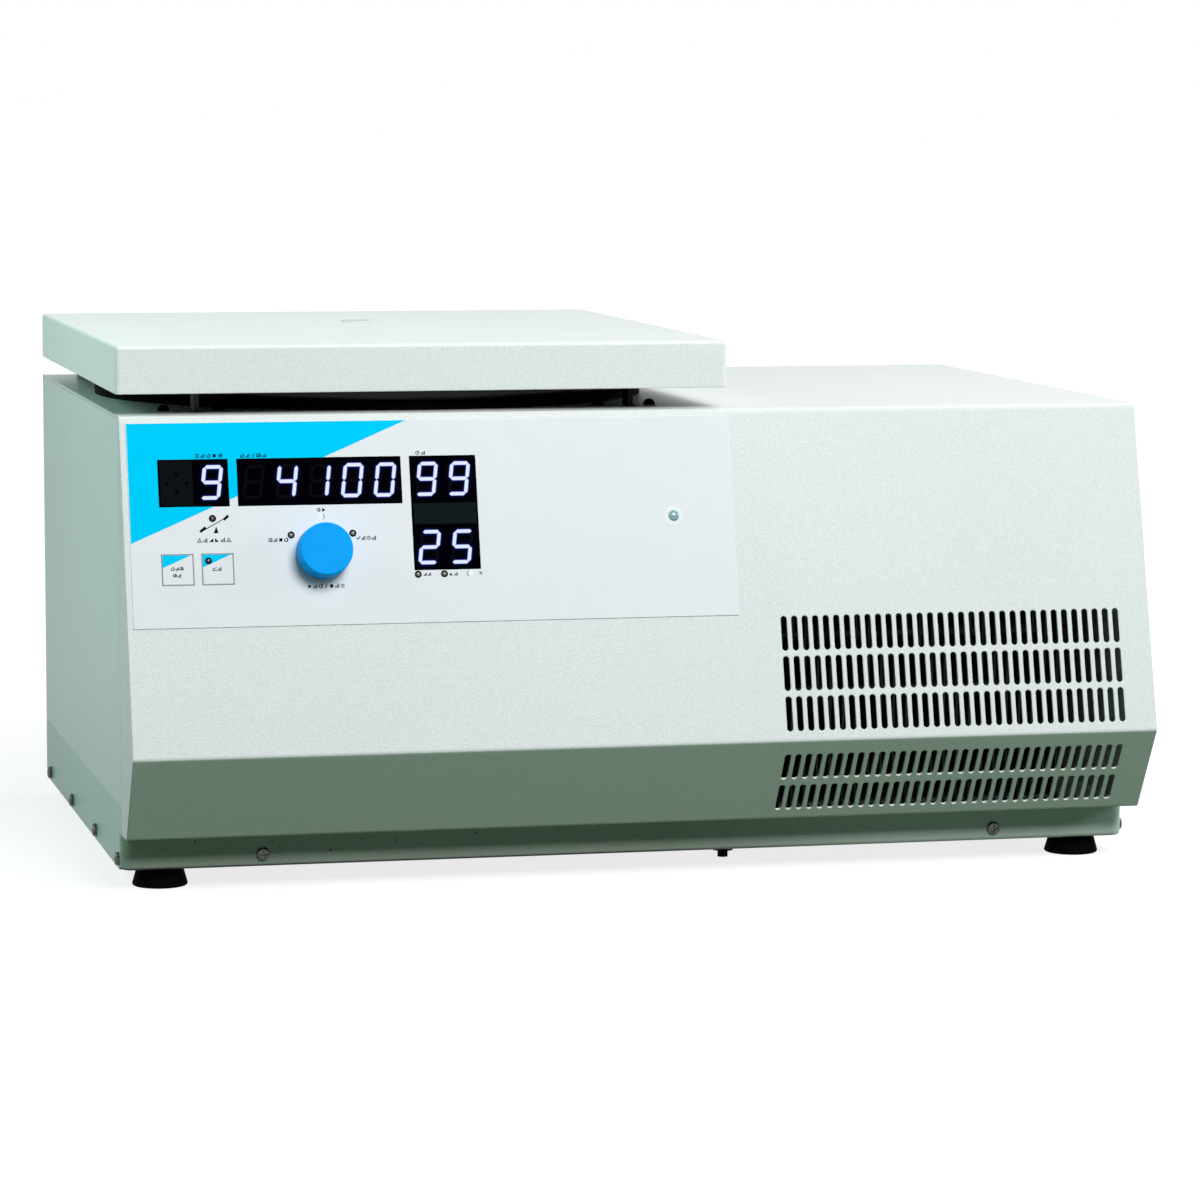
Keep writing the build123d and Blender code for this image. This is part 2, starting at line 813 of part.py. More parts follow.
board_face = window_back + module_gap + module_depth  # depth of the display board behind the front
upper_row = window_top + window_h / 2
digit_cells = [
    front_place(left + (width - cells * cell_w) / 2 + cell_w * (cell + 0.5), upper_row + row)[:2]
    for left, width, cells, row in (
        (program_left, program_w, 2, 0),
        (speed_left, speed_w, 5, 0),
        (timer_left, timer_w, 2, 0),
        (timer_left, timer_w, 2, lower_digit_row),
    )
    for cell in range(cells)
]
with BuildPart() as digit_modules:
    with BuildSketch(front_plane.offset(-board_face)):
        with Locations(*digit_cells):
            Rectangle(module_w, module_h)
    extrude(amount=module_depth)
write(digit_modules, "digit_modules")

board_w, board_h = board_right - board_left, board_bottom - board_top
board_place = front_place((board_left + board_right) / 2, (board_top + board_bottom) / 2)[:2]
with BuildPart() as display_board:
    with BuildSketch(front_plane.offset(-board_face)):
        with Locations(board_place):
            Rectangle(board_w, board_h)
    extrude(amount=-board_t)
    with BuildSketch(front_plane.offset(-board_face)):
        with Locations(board_place):
            with GridLocations(board_w - 2 * pillar_in, board_h - 2 * pillar_in, 2, 2):
                Circle(pillar_r)
    extrude(amount=board_face - sheet)
write(display_board, "display_board")

with BuildPart() as indicator_leds:
    with BuildSketch(front_plane.offset(-board_face)):
        with Locations(*led_places):
            Circle(led_r)
    extrude(amount=board_face + foil_t + led_proud)
write(indicator_leds, "indicator_leds")

with BuildPart() as status_lamp:
    with BuildSketch(front_plane.offset(-status_lamp_back)):
        with Locations(front_place(*status_lamp_place)[:2]):
            Circle(status_lamp_r)
    extrude(amount=status_lamp_back + foil_t + status_lamp_proud)
    fillet(status_lamp.edges().sort_by(Axis.Y)[0], status_lamp_edge_r)
    with BuildSketch(front_plane.offset(-sheet)):
        with Locations(front_place(*status_lamp_place)[:2]):
            Circle(status_lamp_flange_r)
    extrude(amount=-sheet)
write(status_lamp, "status_lamp")

knob_plane = Plane(
    origin=front_plane.from_local_coords((*knob_place, 0)), x_dir=(1, 0, 0), z_dir=front_plane.z_dir
)
knob_base = foil_t + knob_clear + knob_push
shaft_end = board_face - encoder_wall - knob_push - shaft_end_gap
shaft_top = knob_base + knob_h - knob_crown_t

with BuildPart() as encoder_body:
    with BuildSketch(knob_plane.offset(-board_face)):
        Rectangle(encoder_w, encoder_w)
    extrude(amount=board_face - encoder_back)
    with BuildSketch(knob_plane.offset(-encoder_back)):
        Circle(bushing_r)
    extrude(amount=encoder_back + foil_t)
    with BuildSketch(knob_plane.offset(-board_face + encoder_wall)):
        Circle(sleeve_r + bearing_gap)
    extrude(amount=board_face + foil_t, mode=Mode.SUBTRACT)
write(encoder_body, "encoder_body")

with BuildPart() as encoder_sleeve:
    with BuildSketch(knob_plane.offset(-board_face + encoder_wall + bearing_gap)):
        Circle(sleeve_r)
        Circle(shaft_r + bearing_gap, mode=Mode.SUBTRACT)
    extrude(amount=board_face - encoder_wall - bearing_gap)
write(encoder_sleeve, "encoder_sleeve")

with BuildPart() as encoder_shaft:
    with BuildSketch(knob_plane.offset(-shaft_end)):
        Circle(shaft_r)
    extrude(amount=shaft_end + shaft_top)
write(encoder_shaft, "encoder_shaft")

with BuildPart() as knob:
    with BuildSketch(Plane.XZ):
        with BuildLine():
            FilletPolyline(
                (0, 0),
                (knob_r, 0),
                (knob_cap_r, knob_h),
                (0, knob_h),
                radius=(knob_foot_edge_r, knob_edge_r),
            )
            Line((0, knob_h), (0, 0))
        make_face()
    revolve(axis=Axis.Z)
    with BuildSketch():
        Circle(shaft_r + hinge_fit)
    extrude(amount=shaft_top - knob_base + bearing_gap, mode=Mode.SUBTRACT)
knob.part.locate(knob_plane.offset(knob_base).location)
write(knob, "knob")

for name, place in key_places.items():
    with BuildPart() as key:
        with BuildSketch(front_plane.offset(foil_t + key_proud)):
            with Locations(place):
                Rectangle(key_w, key_h)
        extrude(amount=-(foil_t + key_proud + sheet + key_under_gap))
        with BuildSketch(front_plane.offset(-sheet - key_under_gap)):
            with Locations(place):
                Rectangle(key_w + 2 * key_flange, key_h + 2 * key_flange)
        extrude(amount=-key_flange_t)
        with BuildSketch(front_plane.offset(-sheet)):
            with Locations(place):
                Circle(key_stem_r)
        extrude(amount=-(board_face - switch_h - key_travel - key_rest_gap - sheet))
    write(key, name)

with BuildPart() as key_switches:
    with BuildSketch(front_plane.offset(-board_face)):
        with Locations(*key_places.values()):
            Rectangle(switch_w, switch_w)
    extrude(amount=switch_case_h)
    with BuildSketch(front_plane.offset(-board_face)):
        with Locations(*key_places.values()):
            Circle(key_stem_r)
    extrude(amount=switch_h)
write(key_switches, "key_switches")

# ------------------------------------------------------------------ lid
port_place = (chamber.X + port_x_right, chamber.Y + port_y_behind)
inner_w, inner_d = lid_w - 2 * sheet, lid_d - 2 * sheet
inner_corner_r = lid_corner_r - sheet
liner_z = deck_z + gasket_h + liner_gap
middle = (chamber.X, chamber.Y)

with BuildPart() as lid_shell:
    with BuildSketch(Plane.XY.offset(lid_z)):
        with Locations(middle):
            RectangleRounded(lid_w, lid_d, lid_corner_r)
    extrude(amount=lid_h)
    fillet(lid_shell.edges().group_by(Axis.Z)[-1], lid_edge_r)
    with BuildSketch(Plane.XY.offset(lid_z)):
        with Locations(middle):
            RectangleRounded(inner_w, inner_d, inner_corner_r)
    extrude(amount=lid_h - sheet, mode=Mode.SUBTRACT)
    with Locations((*port_place, lid_top_z)):
        Hole(port_tube_r + hinge_fit, depth=2 * sheet)
write(lid_shell, "lid_shell")

with BuildPart() as lid_inner_panel:
    with BuildSketch(Plane.XY.offset(lid_z)):
        with Locations(middle):
            RectangleRounded(inner_w - 2 * lid_panel_gap, inner_d - 2 * lid_panel_gap, inner_corner_r)
    extrude(amount=sheet)
    with BuildSketch(Plane.XY.offset(liner_z)):
        with Locations(middle):
            Circle(liner_r)
    extrude(amount=lid_z + sheet - liner_z)
    fillet(lid_inner_panel.edges().group_by(Axis.Z)[0], liner_edge_r)
    with BuildSketch(Plane.XY.offset(liner_z + sheet)):
        with Locations(middle):
            Circle(liner_r - sheet)
    extrude(amount=lid_z - liner_z, mode=Mode.SUBTRACT)
    with Locations((*port_place, lid_z + sheet)):
        Hole(port_tube_r + hinge_fit, depth=4 * lid_gap)
write(lid_inner_panel, "lid_inner_panel")

with BuildPart() as lid_insulation:
    with BuildSketch(Plane.XY.offset(lid_z + sheet + foam_gap)):
        with Locations(middle):
            RectangleRounded(inner_w - 4 * foam_gap, inner_d - 4 * foam_gap, inner_corner_r)
    extrude(amount=lid_h - 2 * sheet - 2 * foam_gap)
    with BuildSketch(Plane.XY.offset(liner_z + sheet + foam_gap)):
        with Locations(middle):
            Circle(liner_r - sheet - foam_gap)
    extrude(amount=lid_gap)
    with Locations((*port_place, lid_top_z)):
        Hole(port_tube_r + foam_gap, depth=2 * lid_h)
write(lid_insulation, "lid_insulation")

port_bottom_z = liner_z
with BuildPart() as port_rim:
    with BuildSketch(Plane.XY.offset(port_bottom_z)):
        with Locations(port_place):
            Circle(port_tube_r)
    extrude(amount=lid_top_z - port_bottom_z)
    with BuildSketch(Plane.XY.offset(lid_top_z)):
        with Locations(port_place):
            Circle(port_rim_r)
    extrude(amount=port_rim_h)
    fillet(port_rim.edges().group_by(Axis.Z)[-1], port_rim_edge_r)
    with Locations((*port_place, lid_top_z + port_rim_h)):
        Hole(port_glass_r, depth=2 * lid_h)
write(port_rim, "port_rim")

with BuildPart() as port_glass:
    for low_z in (lid_top_z + port_rim_h / 2 - port_glass_t, port_bottom_z + port_glass_in):
        with BuildSketch(Plane.XY.offset(low_z)):
            with Locations(port_place):
                Circle(port_glass_r - hinge_fit)
        extrude(amount=port_glass_t)
write(port_glass, "port_glass")

striker_front_y = striker_y - striker_d / 2
striker_back_y = striker_y + striker_d / 2
with BuildPart() as lid_strikers:
    for x, y in striker_places:
        with BuildSketch(Plane.YZ.offset(x - striker_t / 2)):
            with BuildLine():
                Polyline(
                    (striker_front_y, lid_z),
                    (striker_front_y, striker_bottom_z + striker_nose),
                    (striker_front_y + striker_nose, striker_bottom_z),
                    (striker_back_y - striker_heel, striker_bottom_z),
                    (striker_back_y, striker_bottom_z + striker_heel),
                    (striker_back_y, notch_low_z),
                    (striker_back_y - notch_d, notch_low_z),
                    (striker_back_y - notch_d, notch_low_z + notch_h),
                    (striker_back_y, notch_low_z + notch_h),
                    (striker_back_y, lid_z),
                    close=True,
                )
            make_face()
        extrude(amount=striker_t)
    with BuildSketch(Plane.XY.offset(lid_z)):
        with Locations(*striker_places):
            RectangleRounded(striker_foot_w, striker_foot_l, striker_foot_corner_r)
    extrude(amount=-striker_foot_t)
write(lid_strikers, "lid_strikers")

hinge_y = lid_front_y + lid_d - hinge_from_back
hinge_z = deck_z + lid_gap / 2
hinge_left = lid_x - hinge_l / 2
knuckle_pitch = hinge_l / hinge_knuckles
knuckle_l = knuckle_pitch - hinge_end_gap


def hinge_leaf(leaf_z, first, hole_r):
    """One leaf with every second knuckle. leaf_z is the leaf's far face from the hinge's axis."""
    inward = 1 if leaf_z < hinge_z else -1
    with BuildPart() as leaf:
        with BuildSketch(Plane.XY.offset(leaf_z)):
            with Locations((hinge_left, hinge_y - hinge_r)):
                Rectangle(hinge_l, hinge_leaf_w, align=(Align.MIN, Align.MAX))
        extrude(amount=inward * hinge_leaf_t)
        for number in range(first, hinge_knuckles, 2):
            with BuildSketch(Plane.YZ.offset(hinge_left + number * knuckle_pitch + hinge_end_gap / 2)):
                with Locations((hinge_y, hinge_z)):
                    Circle(hinge_r)
                with BuildLine():
                    Polyline(
                        (hinge_y - hinge_r - hinge_web, leaf_z),
                        (hinge_y, leaf_z),
                        (hinge_y, hinge_z),
                        (hinge_y - hinge_r, hinge_z),
                        (hinge_y - hinge_r - hinge_web, leaf_z + inward * hinge_leaf_t),
                        close=True,
                    )
                make_face()
                with Locations((hinge_y, hinge_z)):
                    Circle(hole_r, mode=Mode.SUBTRACT)
            extrude(amount=knuckle_l)
    return leaf


write(hinge_leaf(deck_z, 0, hinge_pin_r + hinge_fit), "hinge_base_leaf")
write(hinge_leaf(lid_z, 1, hinge_pin_r + hinge_running), "hinge_lid_leaf")

with BuildPart() as hinge_pin:
    with BuildSketch(Plane.YZ.offset(hinge_left)):
        with Locations((hinge_y, hinge_z)):
            Circle(hinge_pin_r)
    extrude(amount=hinge_l)
write(hinge_pin, "hinge_pin")

buffer_places = [(x + offset, y) for x, y in striker_places for offset in buffer_offsets]
with BuildPart() as lid_buffers:
    with BuildSketch(Plane.XY.offset(deck_z)):
        with Locations(*buffer_places):
            Circle(buffer_r)
    extrude(amount=buffer_h)
    fillet(lid_buffers.edges().group_by(Axis.Z)[-1], buffer_edge_r)
write(lid_buffers, "lid_buffers")

# ------------------------------------------------------------------ lid lock
hook_y = striker_y + hook_pivot_behind
nose_low = notch_low_z + hook_nose_gap - hook_pivot_z  # above the hook's pivot
nose_top = nose_low + hook_nose_h
nose_tip = striker_back_y - notch_d + hook_nose_end_gap - hook_y
sides = {"left": striker_places[0][0], "right": striker_places[1][0]}

for side, x in sides.items():
    with BuildPart() as lock_hook:
        with BuildSketch(tilted(x - hook_t / 2, hook_y, hook_pivot_z, hook_release)):
            Circle(hook_r)
            with BuildLine():
                Polyline(
                    (-hook_arm_w, 0),
                    (-hook_arm_w, nose_low),
                    (nose_tip, nose_low),
                    (nose_tip, nose_top - hook_nose_slope),
                    (nose_tip + hook_nose_slope_d, nose_top),
                    (hook_arm_top, nose_top),
                    (hook_arm_w, 0),
                    close=True,
                )
            make_face()
            Circle(hook_pin_r + hinge_running, mode=Mode.SUBTRACT)
        extrude(amount=hook_t)
    write(lock_hook, f"lock_hook_{side}")

bracket_span = hook_t + 2 * bracket_gap
bracket_front_y = hook_y - hook_r - bracket_front_gap
bracket_d = 2 * hook_r + bracket_front_gap + bracket_back
bracket_low_z = hook_pivot_z - hook_r
with BuildPart() as lock_brackets:
    for x in sides.values():
        for side in (-1, 1):
            with BuildSketch(Plane.YZ.offset(x + side * bracket_span / 2)):
                with Locations((bracket_front_y, bracket_low_z)):
                    Rectangle(bracket_d, deck_under_z - bracket_low_z, align=Align.MIN)
            extrude(amount=side * bracket_t)
        with BuildSketch(Plane.YZ.offset(x - bracket_span / 2)):
            with Locations((hook_y, hook_pivot_z)):
                Circle(hook_pin_r)
        extrude(amount=bracket_span)
write(lock_brackets, "lock_brackets")

with BuildPart() as lock_actuators:
    for x, side in ((sides["left"], -1), (sides["right"], 1)):
        with BuildSketch(Plane.YZ.offset(x + side * (bracket_span / 2 + bracket_t))):
            with Locations((hook_y, hook_pivot_z + actuator_rise)):
                RectangleRounded(actuator_d, actuator_h, actuator_corner_r)
        extrude(amount=side * actuator_w)
write(lock_actuators, "lock_actuators")

# ------------------------------------------------------------------ chamber
bowl_floor_z = deck_z - bowl_depth
bowl_outer_r = bowl_r + bowl_t
chamber_axis = Axis(chamber, (0, 0, 1))
chamber_section = Plane(origin=chamber, x_dir=(1, 0, 0), z_dir=(0, -1, 0))


def bowl_line(depth):
    """The bowl's bent section line, at a depth in its sheet, and the radii of its bends."""
    points = (
        (bowl_flange_r, deck_under_z - depth),
        (bowl_r + depth, deck_under_z - depth),
        (bowl_r + depth, bowl_floor_z - depth),
        (bowl_drain_hole_r - depth, bowl_floor_z - depth),
        (bowl_drain_hole_r - depth, bowl_floor_z + collar_h),
    )
    return points, (0, bowl_corner_r + depth, collar_bend_r + depth)


with BuildPart() as chamber_bowl:
    with BuildSketch(chamber_section):
        with BuildLine():
            for points, radii in (bowl_line(0), bowl_line(bowl_t)):
                FilletPolyline(*points, radius=radii)
            for end in (0, -1):
                Line(bowl_line(0)[0][end], bowl_line(bowl_t)[0][end])
        make_face()
    revolve(axis=chamber_axis)
write(chamber_bowl, "chamber_bowl")

with BuildPart() as chamber_gasket:
    with BuildSketch(Plane.XY.offset(deck_z)):
        with Locations(middle):
            Circle(bowl_r + gasket_gap + gasket_w)
            Circle(bowl_r + gasket_gap, mode=Mode.SUBTRACT)
    extrude(amount=gasket_h)
    fillet(chamber_gasket.edges().group_by(Axis.Z)[-1], gasket_edge_r)
    # its foot fills the step between the deck and the bowl's flange
    with BuildSketch(Plane.XY.offset(deck_z)):
        with Locations(middle):
            Circle(bowl_r + deck_hole_gap - gasket_fit)
            Circle(bowl_r + gasket_gap, mode=Mode.SUBTRACT)
    extrude(amount=-sheet)
write(chamber_gasket, "chamber_gasket")

coil_centre_r = bowl_outer_r + coil_gap + coil_r
with BuildPart() as evaporator_coil:
    for turn in range(coil_turns):
        with Locations((*middle, bowl_floor_z + coil_low + turn * coil_pitch)):
            Torus(coil_centre_r, coil_r)
write(evaporator_coil, "evaporator_coil")

insulation_r = coil_centre_r + coil_r + coil_gap
insulation_floor_z = bowl_floor_z - bowl_t - foam_gap
insulation_top_z = deck_under_z - bowl_t - foam_gap
insulation_low_z = insulation_floor_z - insulation_floor_t
with BuildPart() as chamber_insulation:
    with BuildSketch(chamber_section):
        with BuildLine():
            Polyline(
                (insulation_hole_r, insulation_floor_z),
                (insulation_r, insulation_floor_z),
                (insulation_r, insulation_top_z),
                (insulation_r + insulation_t, insulation_top_z),
                (insulation_r + insulation_t, insulation_low_z),
                (insulation_hole_r, insulation_low_z),
                close=True,
            )
        make_face()
    revolve(axis=chamber_axis)
write(chamber_insulation, "chamber_insulation")

# ------------------------------------------------------------------ motor and shaft
mount_top_z = pan_floor_z + mount_h
motor_low_z = mount_top_z + motor_flange_t
motor_top_z = insulation_low_z - motor_headroom
mount_places = [
    (chamber.X + mount_circle_r * sin(radians(a)), chamber.Y + mount_circle_r * cos(radians(a)))
    for a in (0, 120, 240)
]
grommet_places = [
    (bay_x + x, compressor_y + y)
    for x in (grommet_in - compressor_foot_w / 2, compressor_foot_w / 2 - grommet_in)
    for y in (grommet_in - compressor_foot_d / 2, compressor_foot_d / 2 - grommet_in)
]
with BuildPart() as rubber_mounts:
    with BuildSketch(Plane.XY.offset(pan_floor_z)):
        with Locations(*mount_places):
            Circle(mount_r)
    extrude(amount=mount_h, taper=mount_taper)
    with BuildSketch(Plane.XY.offset(pan_floor_z)):
        with Locations(*grommet_places):
            Circle(grommet_r)
    extrude(amount=grommet_h)
write(rubber_mounts, "rubber_mounts")

with BuildPart() as motor_flange:
    with BuildSketch(Plane.XY.offset(mount_top_z)):
        with Locations(middle):
            Circle(motor_flange_r)
            Circle(motor_r / 2, mode=Mode.SUBTRACT)
    extrude(amount=motor_flange_t)
    chamfer(motor_flange.edges().group_by(Axis.Z)[-1].sort_by(SortBy.RADIUS)[-1], motor_flange_chamfer)
write(motor_flange, "motor_flange")

drive_low_z = motor_low_z + drive_foot_gap
with BuildPart() as motor_housing:
    with BuildSketch(chamber_section):
        with BuildLine():
            Polyline(
                (drive_r + motor_running, motor_low_z + motor_floor),
                (drive_r + motor_running, motor_top_z + motor_nose_h),
                (motor_nose_r, motor_top_z + motor_nose_h),
                (motor_nose_r, motor_top_z),
                (motor_r - motor_chamfer, motor_top_z),
                (motor_r, motor_top_z - motor_chamfer),
                (motor_r, motor_low_z),
                (0, motor_low_z),
                (0, motor_low_z + motor_floor),
                close=True,
            )
        make_face()
    revolve(axis=chamber_axis)
    with BuildSketch(Plane.XY.offset(motor_low_z + motor_groove_low)):
        with Locations(middle):
            with PolarLocations(motor_r, motor_rib_count):
                Rectangle(motor_groove, motor_groove)
    extrude(amount=motor_top_z - motor_groove_end - motor_low_z - motor_groove_low, mode=Mode.SUBTRACT)
write(motor_housing, "motor_housing")

hub_top_z = pivot_z + hub_above
shaft_top_z = hub_top_z - drive_end_gap
with BuildPart() as drive_shaft:
    with BuildSketch(Plane.XY.offset(drive_low_z)):
        with Locations(middle):
            Circle(drive_r)
    extrude(amount=shaft_top_z - drive_low_z)
    chamfer(drive_shaft.edges().group_by(Axis.Z)[-1], drive_chamfer)
    with Locations((*middle, shaft_top_z)):
        Hole(lock_thread_r + hinge_fit, depth=lock_thread_l + lock_thread_gap)
write(drive_shaft, "drive_shaft")

boot_outer_r = bowl_drain_hole_r - bowl_t - boot_gap
boot_top_z = bowl_floor_z + collar_h - bowl_t
boot_low_z = motor_top_z + motor_nose_h / 2
with BuildPart() as shaft_boot:
    with BuildSketch(chamber_section):
        with BuildLine():
            Polyline(
                (boot_outer_r, bowl_floor_z),
                (boot_outer_r, boot_top_z),
                (boot_outer_r - boot_t, boot_top_z),
                (boot_lip_r, boot_top_z + boot_lip_h),
                (boot_lip_r, boot_top_z + boot_lip_h - boot_t),
                (motor_nose_r, boot_top_z - boot_low_h),
                (motor_nose_r + boot_gap, boot_low_z),
                (motor_nose_r + boot_gap + boot_t, boot_low_z),
                (motor_nose_r + boot_foot_t, bowl_floor_z),
                close=True,
            )
        make_face()
    revolve(axis=chamber_axis)
write(shaft_boot, "shaft_boot")

# ------------------------------------------------------------------ rotor and carriers
carrier_half_w = plate_w / 2 + plate_gap + carrier_wall
pocket_half_l = plate_l / 2 + plate_gap + pocket_end_gap
carrier_half_l = pocket_half_l + carrier_end
rail_inner_y = carrier_half_l + boss_t + boss_gap
rail_outer_y = rail_inner_y + rail_t
rail_half_l = pivot_radius + rail_end
rail_low_z = pivot_z - rail_below
pivot_places = [
    upright(chamber.X + sx * pivot_radius, chamber.Y + sy * rail_outer_y, pivot_z, (0, sy, 0))
    for sx in (-1, 1)
    for sy in (-1, 1)
]

with BuildPart() as rotor_head:
    with BuildSketch(Plane.XY.offset(rail_low_z)):
        with Locations(middle):
            Rectangle(crossbar_w, 2 * rail_inner_y + rail_t)
            with Locations((0, rail_inner_y + rail_t / 2), (0, -rail_inner_y - rail_t / 2)):
                Rectangle(2 * rail_half_l, rail_t)
    extrude(amount=rail_h)
    upright_edges = rotor_head.edges().filter_by(Axis.Z)
    rail_ends = upright_edges.filter_by(lambda e: abs(e.center().X - chamber.X) > rail_half_l - rail_t)
    fillet(rail_ends, rail_corner_r)
    with BuildSketch(Plane.XY.offset(pivot_z - hub_below)):
        with Locations(middle):
            Circle(hub_r)
    extrude(amount=hub_below + hub_above)
    with Locations((*middle, hub_top_z)):
        Hole(drive_r + hinge_fit, depth=hub_above + hub_below)
    with Locations(*pivot_places):
        Hole(pin_r + pin_fit, depth=rail_t + boss_gap)
write(rotor_head, "rotor_head")

pin_l = rail_t + boss_gap + pin_grip
with BuildPart() as trunnion_pins:
    for place in pivot_places:
        with BuildSketch(place):
            Circle(pin_r)
        extrude(amount=-pin_l)
write(trunnion_pins, "trunnion_pins")

with BuildPart() as rotor_lock_screw:
    with BuildSketch(Plane.XY.offset(hub_top_z)):
        with Locations(middle):
            Circle(lock_screw_r)
            with PolarLocations(lock_screw_r + lock_flute_out, lock_flute_count):
                Circle(lock_flute_r, mode=Mode.SUBTRACT)
    extrude(amount=lock_screw_h)
    chamfer(rotor_lock_screw.edges().group_by(Axis.Z)[-1], lock_chamfer)
    with BuildSketch(Plane.XY.offset(hub_top_z)):
        with Locations(middle):
            Circle(lock_thread_r)
    extrude(amount=-lock_thread_l)
write(rotor_lock_screw, "rotor_lock_screw")

carrier_low_z = pivot_z - carrier_drop
for side, name in ((-1, "carrier_left"), (1, "carrier_right")):
    carrier_x = chamber.X + side * pivot_radius
    with BuildPart() as carrier:
        with BuildSketch(Plane.XY.offset(carrier_low_z)):
            with Locations((carrier_x, chamber.Y)):
                RectangleRounded(2 * carrier_half_w, 2 * carrier_half_l, carrier_corner_r)
        extrude(amount=carrier_h)
        for end in (-1, 1):
            face_y = chamber.Y + end * carrier_half_l
            with BuildSketch(upright(carrier_x, face_y, pivot_z, (0, end, 0))):
                Circle(ear_rise)
                with BuildLine():
                    Polyline(
                        (-ear_rise, 0),
                        (-ear_w / 2, carrier_h - carrier_drop),
                        (-ear_w / 2, ear_foot - carrier_drop),
                        (ear_w / 2, ear_foot - carrier_drop),
                        (ear_w / 2, carrier_h - carrier_drop),
                        (ear_rise, 0),
                        close=True,
                    )
                make_face()
            extrude(amount=-carrier_end)
            with BuildSketch(upright(carrier_x, face_y, pivot_z, (0, end, 0))):
                Circle(boss_r)
            extrude(amount=boss_t)
            with Locations(upright(carrier_x, face_y + end * boss_t, pivot_z, (0, end, 0))):
                Hole(pin_r + pin_running, depth=pin_grip + pin_end_gap)
        with BuildSketch(Plane.XY.offset(carrier_low_z + carrier_end)):
            with Locations((carrier_x, chamber.Y)):
                RectangleRounded(plate_w + 2 * plate_gap, 2 * pocket_half_l, pocket_corner_r)
        extrude(amount=carrier_h, mode=Mode.SUBTRACT)
    write(carrier, name)

# ------------------------------------------------------------------ refrigeration bay
condenser_x = bay_x - condenser_w / 2
fin_pitch = condenser_w / (fin_count + 1)
fan_z = pan_floor_z + condenser_h / 2
with BuildPart() as condenser:
    for x, width in [(condenser_x, condenser_plate_t), (condenser_x + condenser_w, -condenser_plate_t)]:
        with BuildSketch(Plane.YZ.offset(x)):
            with Locations((condenser_y, pan_floor_z)):
                Rectangle(condenser_d, condenser_h, align=(Align.CENTER, Align.MIN))
        extrude(amount=width)
    for fin in range(1, fin_count + 1):
        with BuildSketch(Plane.YZ.offset(condenser_x + fin * fin_pitch - fin_t / 2)):
            with Locations((condenser_y, fan_z)):
                Rectangle(condenser_d - 2 * fin_in, condenser_h - 2 * fin_end)
        extrude(amount=fin_t)
    with BuildSketch(Plane.YZ.offset(condenser_x)):
        with Locations((condenser_y, fan_z)):
            with GridLocations(condenser_d / 2, condenser_h / tube_rows, 2, tube_rows):
                Circle(tube_r)
    extrude(amount=condenser_w)
write(condenser, "condenser")

shroud_y = condenser_y + condenser_d / 2
with BuildPart() as fan_shroud:
    with BuildSketch(Plane.XZ.offset(-shroud_y)):
        with Locations((bay_x, pan_floor_z)):
            Rectangle(condenser_w, condenser_h, align=(Align.CENTER, Align.MIN))
        with Locations((bay_x, fan_z)):
            Circle(fan_bore_r, mode=Mode.SUBTRACT)
    extrude(amount=-shroud_t)
write(fan_shroud, "fan_shroud")

fan_front_y = shroud_y + shroud_t
fan_back_y = fan_front_y + fan_d
with BuildPart() as fan_frame:
    with BuildSketch(Plane.XZ.offset(-fan_front_y)):
        with Locations((bay_x, fan_z)):
            RectangleRounded(fan_w, fan_w, fan_corner_r)
            Circle(fan_bore_r, mode=Mode.SUBTRACT)
    extrude(amount=-fan_d)
    with BuildSketch(Plane.XZ.offset(-fan_back_y)):
        with Locations((bay_x, fan_z)):
            Circle(fan_hub_r)
            Rectangle(2 * (fan_bore_r + fan_strut_root), fan_strut_w, rotation=45)
            Rectangle(2 * (fan_bore_r + fan_strut_root), fan_strut_w, rotation=-45)
    extrude(amount=fan_strut_t)
    with BuildSketch(Plane.XZ.offset(-fan_back_y + fan_strut_t)):
        with Locations((bay_x, fan_z)):
            Circle(fan_axle_r)
    extrude(amount=impeller_d)
write(fan_frame, "fan_frame")

impeller_back = fan_back_y - fan_strut_t - impeller_gap
with BuildPart() as fan_impeller:
    with BuildSketch(Plane.XZ.offset(-impeller_back)):
        with Locations((bay_x, fan_z)):
            Circle(fan_hub_r)
    extrude(amount=impeller_d)
    blade_chord = blade_w * cos(radians(blade_tilt))
    blade_l = fan_tip_r - fan_hub_r + blade_root
    for number in range(blade_count):
        angle = 360 * number / blade_count
        spoke = Vector(cos(radians(angle)), 0, sin(radians(angle)))
        root = Vector(bay_x, impeller_back - impeller_d / 2, fan_z) + spoke * (fan_hub_r - blade_root)
        with BuildSketch(Plane(origin=root, x_dir=(0, 1, 0), z_dir=spoke)):
            RectangleRounded(blade_chord, blade_t, blade_edge_r, rotation=blade_tilt)
        extrude(amount=blade_l)
    with BuildSketch(Plane.XZ.offset(-impeller_back)):
        with Locations((bay_x, fan_z)):
            Circle(fan_axle_r + bearing_gap)
    extrude(amount=impeller_d, mode=Mode.SUBTRACT)
write(fan_impeller, "fan_impeller")

compressor_low_z = pan_floor_z + grommet_h
with BuildPart() as compressor:
    with BuildSketch(Plane.XY.offset(compressor_low_z)):
        with Locations((bay_x, compressor_y)):
            RectangleRounded(compressor_foot_w, compressor_foot_d, compressor_foot_corner_r)
    extrude(amount=compressor_foot_t)
    with BuildSketch(Plane.XY.offset(compressor_low_z)):
        with Locations((bay_x, compressor_y)):
            Circle(compressor_r)
    extrude(amount=compressor_h)
    fillet(compressor.edges().group_by(Axis.Z)[-1], compressor_dome_r)
write(compressor, "compressor")


def pipe(points):
    """A copper pipe along straight runs joined by round bends."""
    with BuildPart() as tube:
        with BuildLine() as route:
            FilletPolyline(*points, radius=pipe_bend_r)
        with BuildSketch(Plane(origin=route.line @ 0, z_dir=route.line % 0)):
            Circle(pipe_r)
        sweep()
    return tube.part


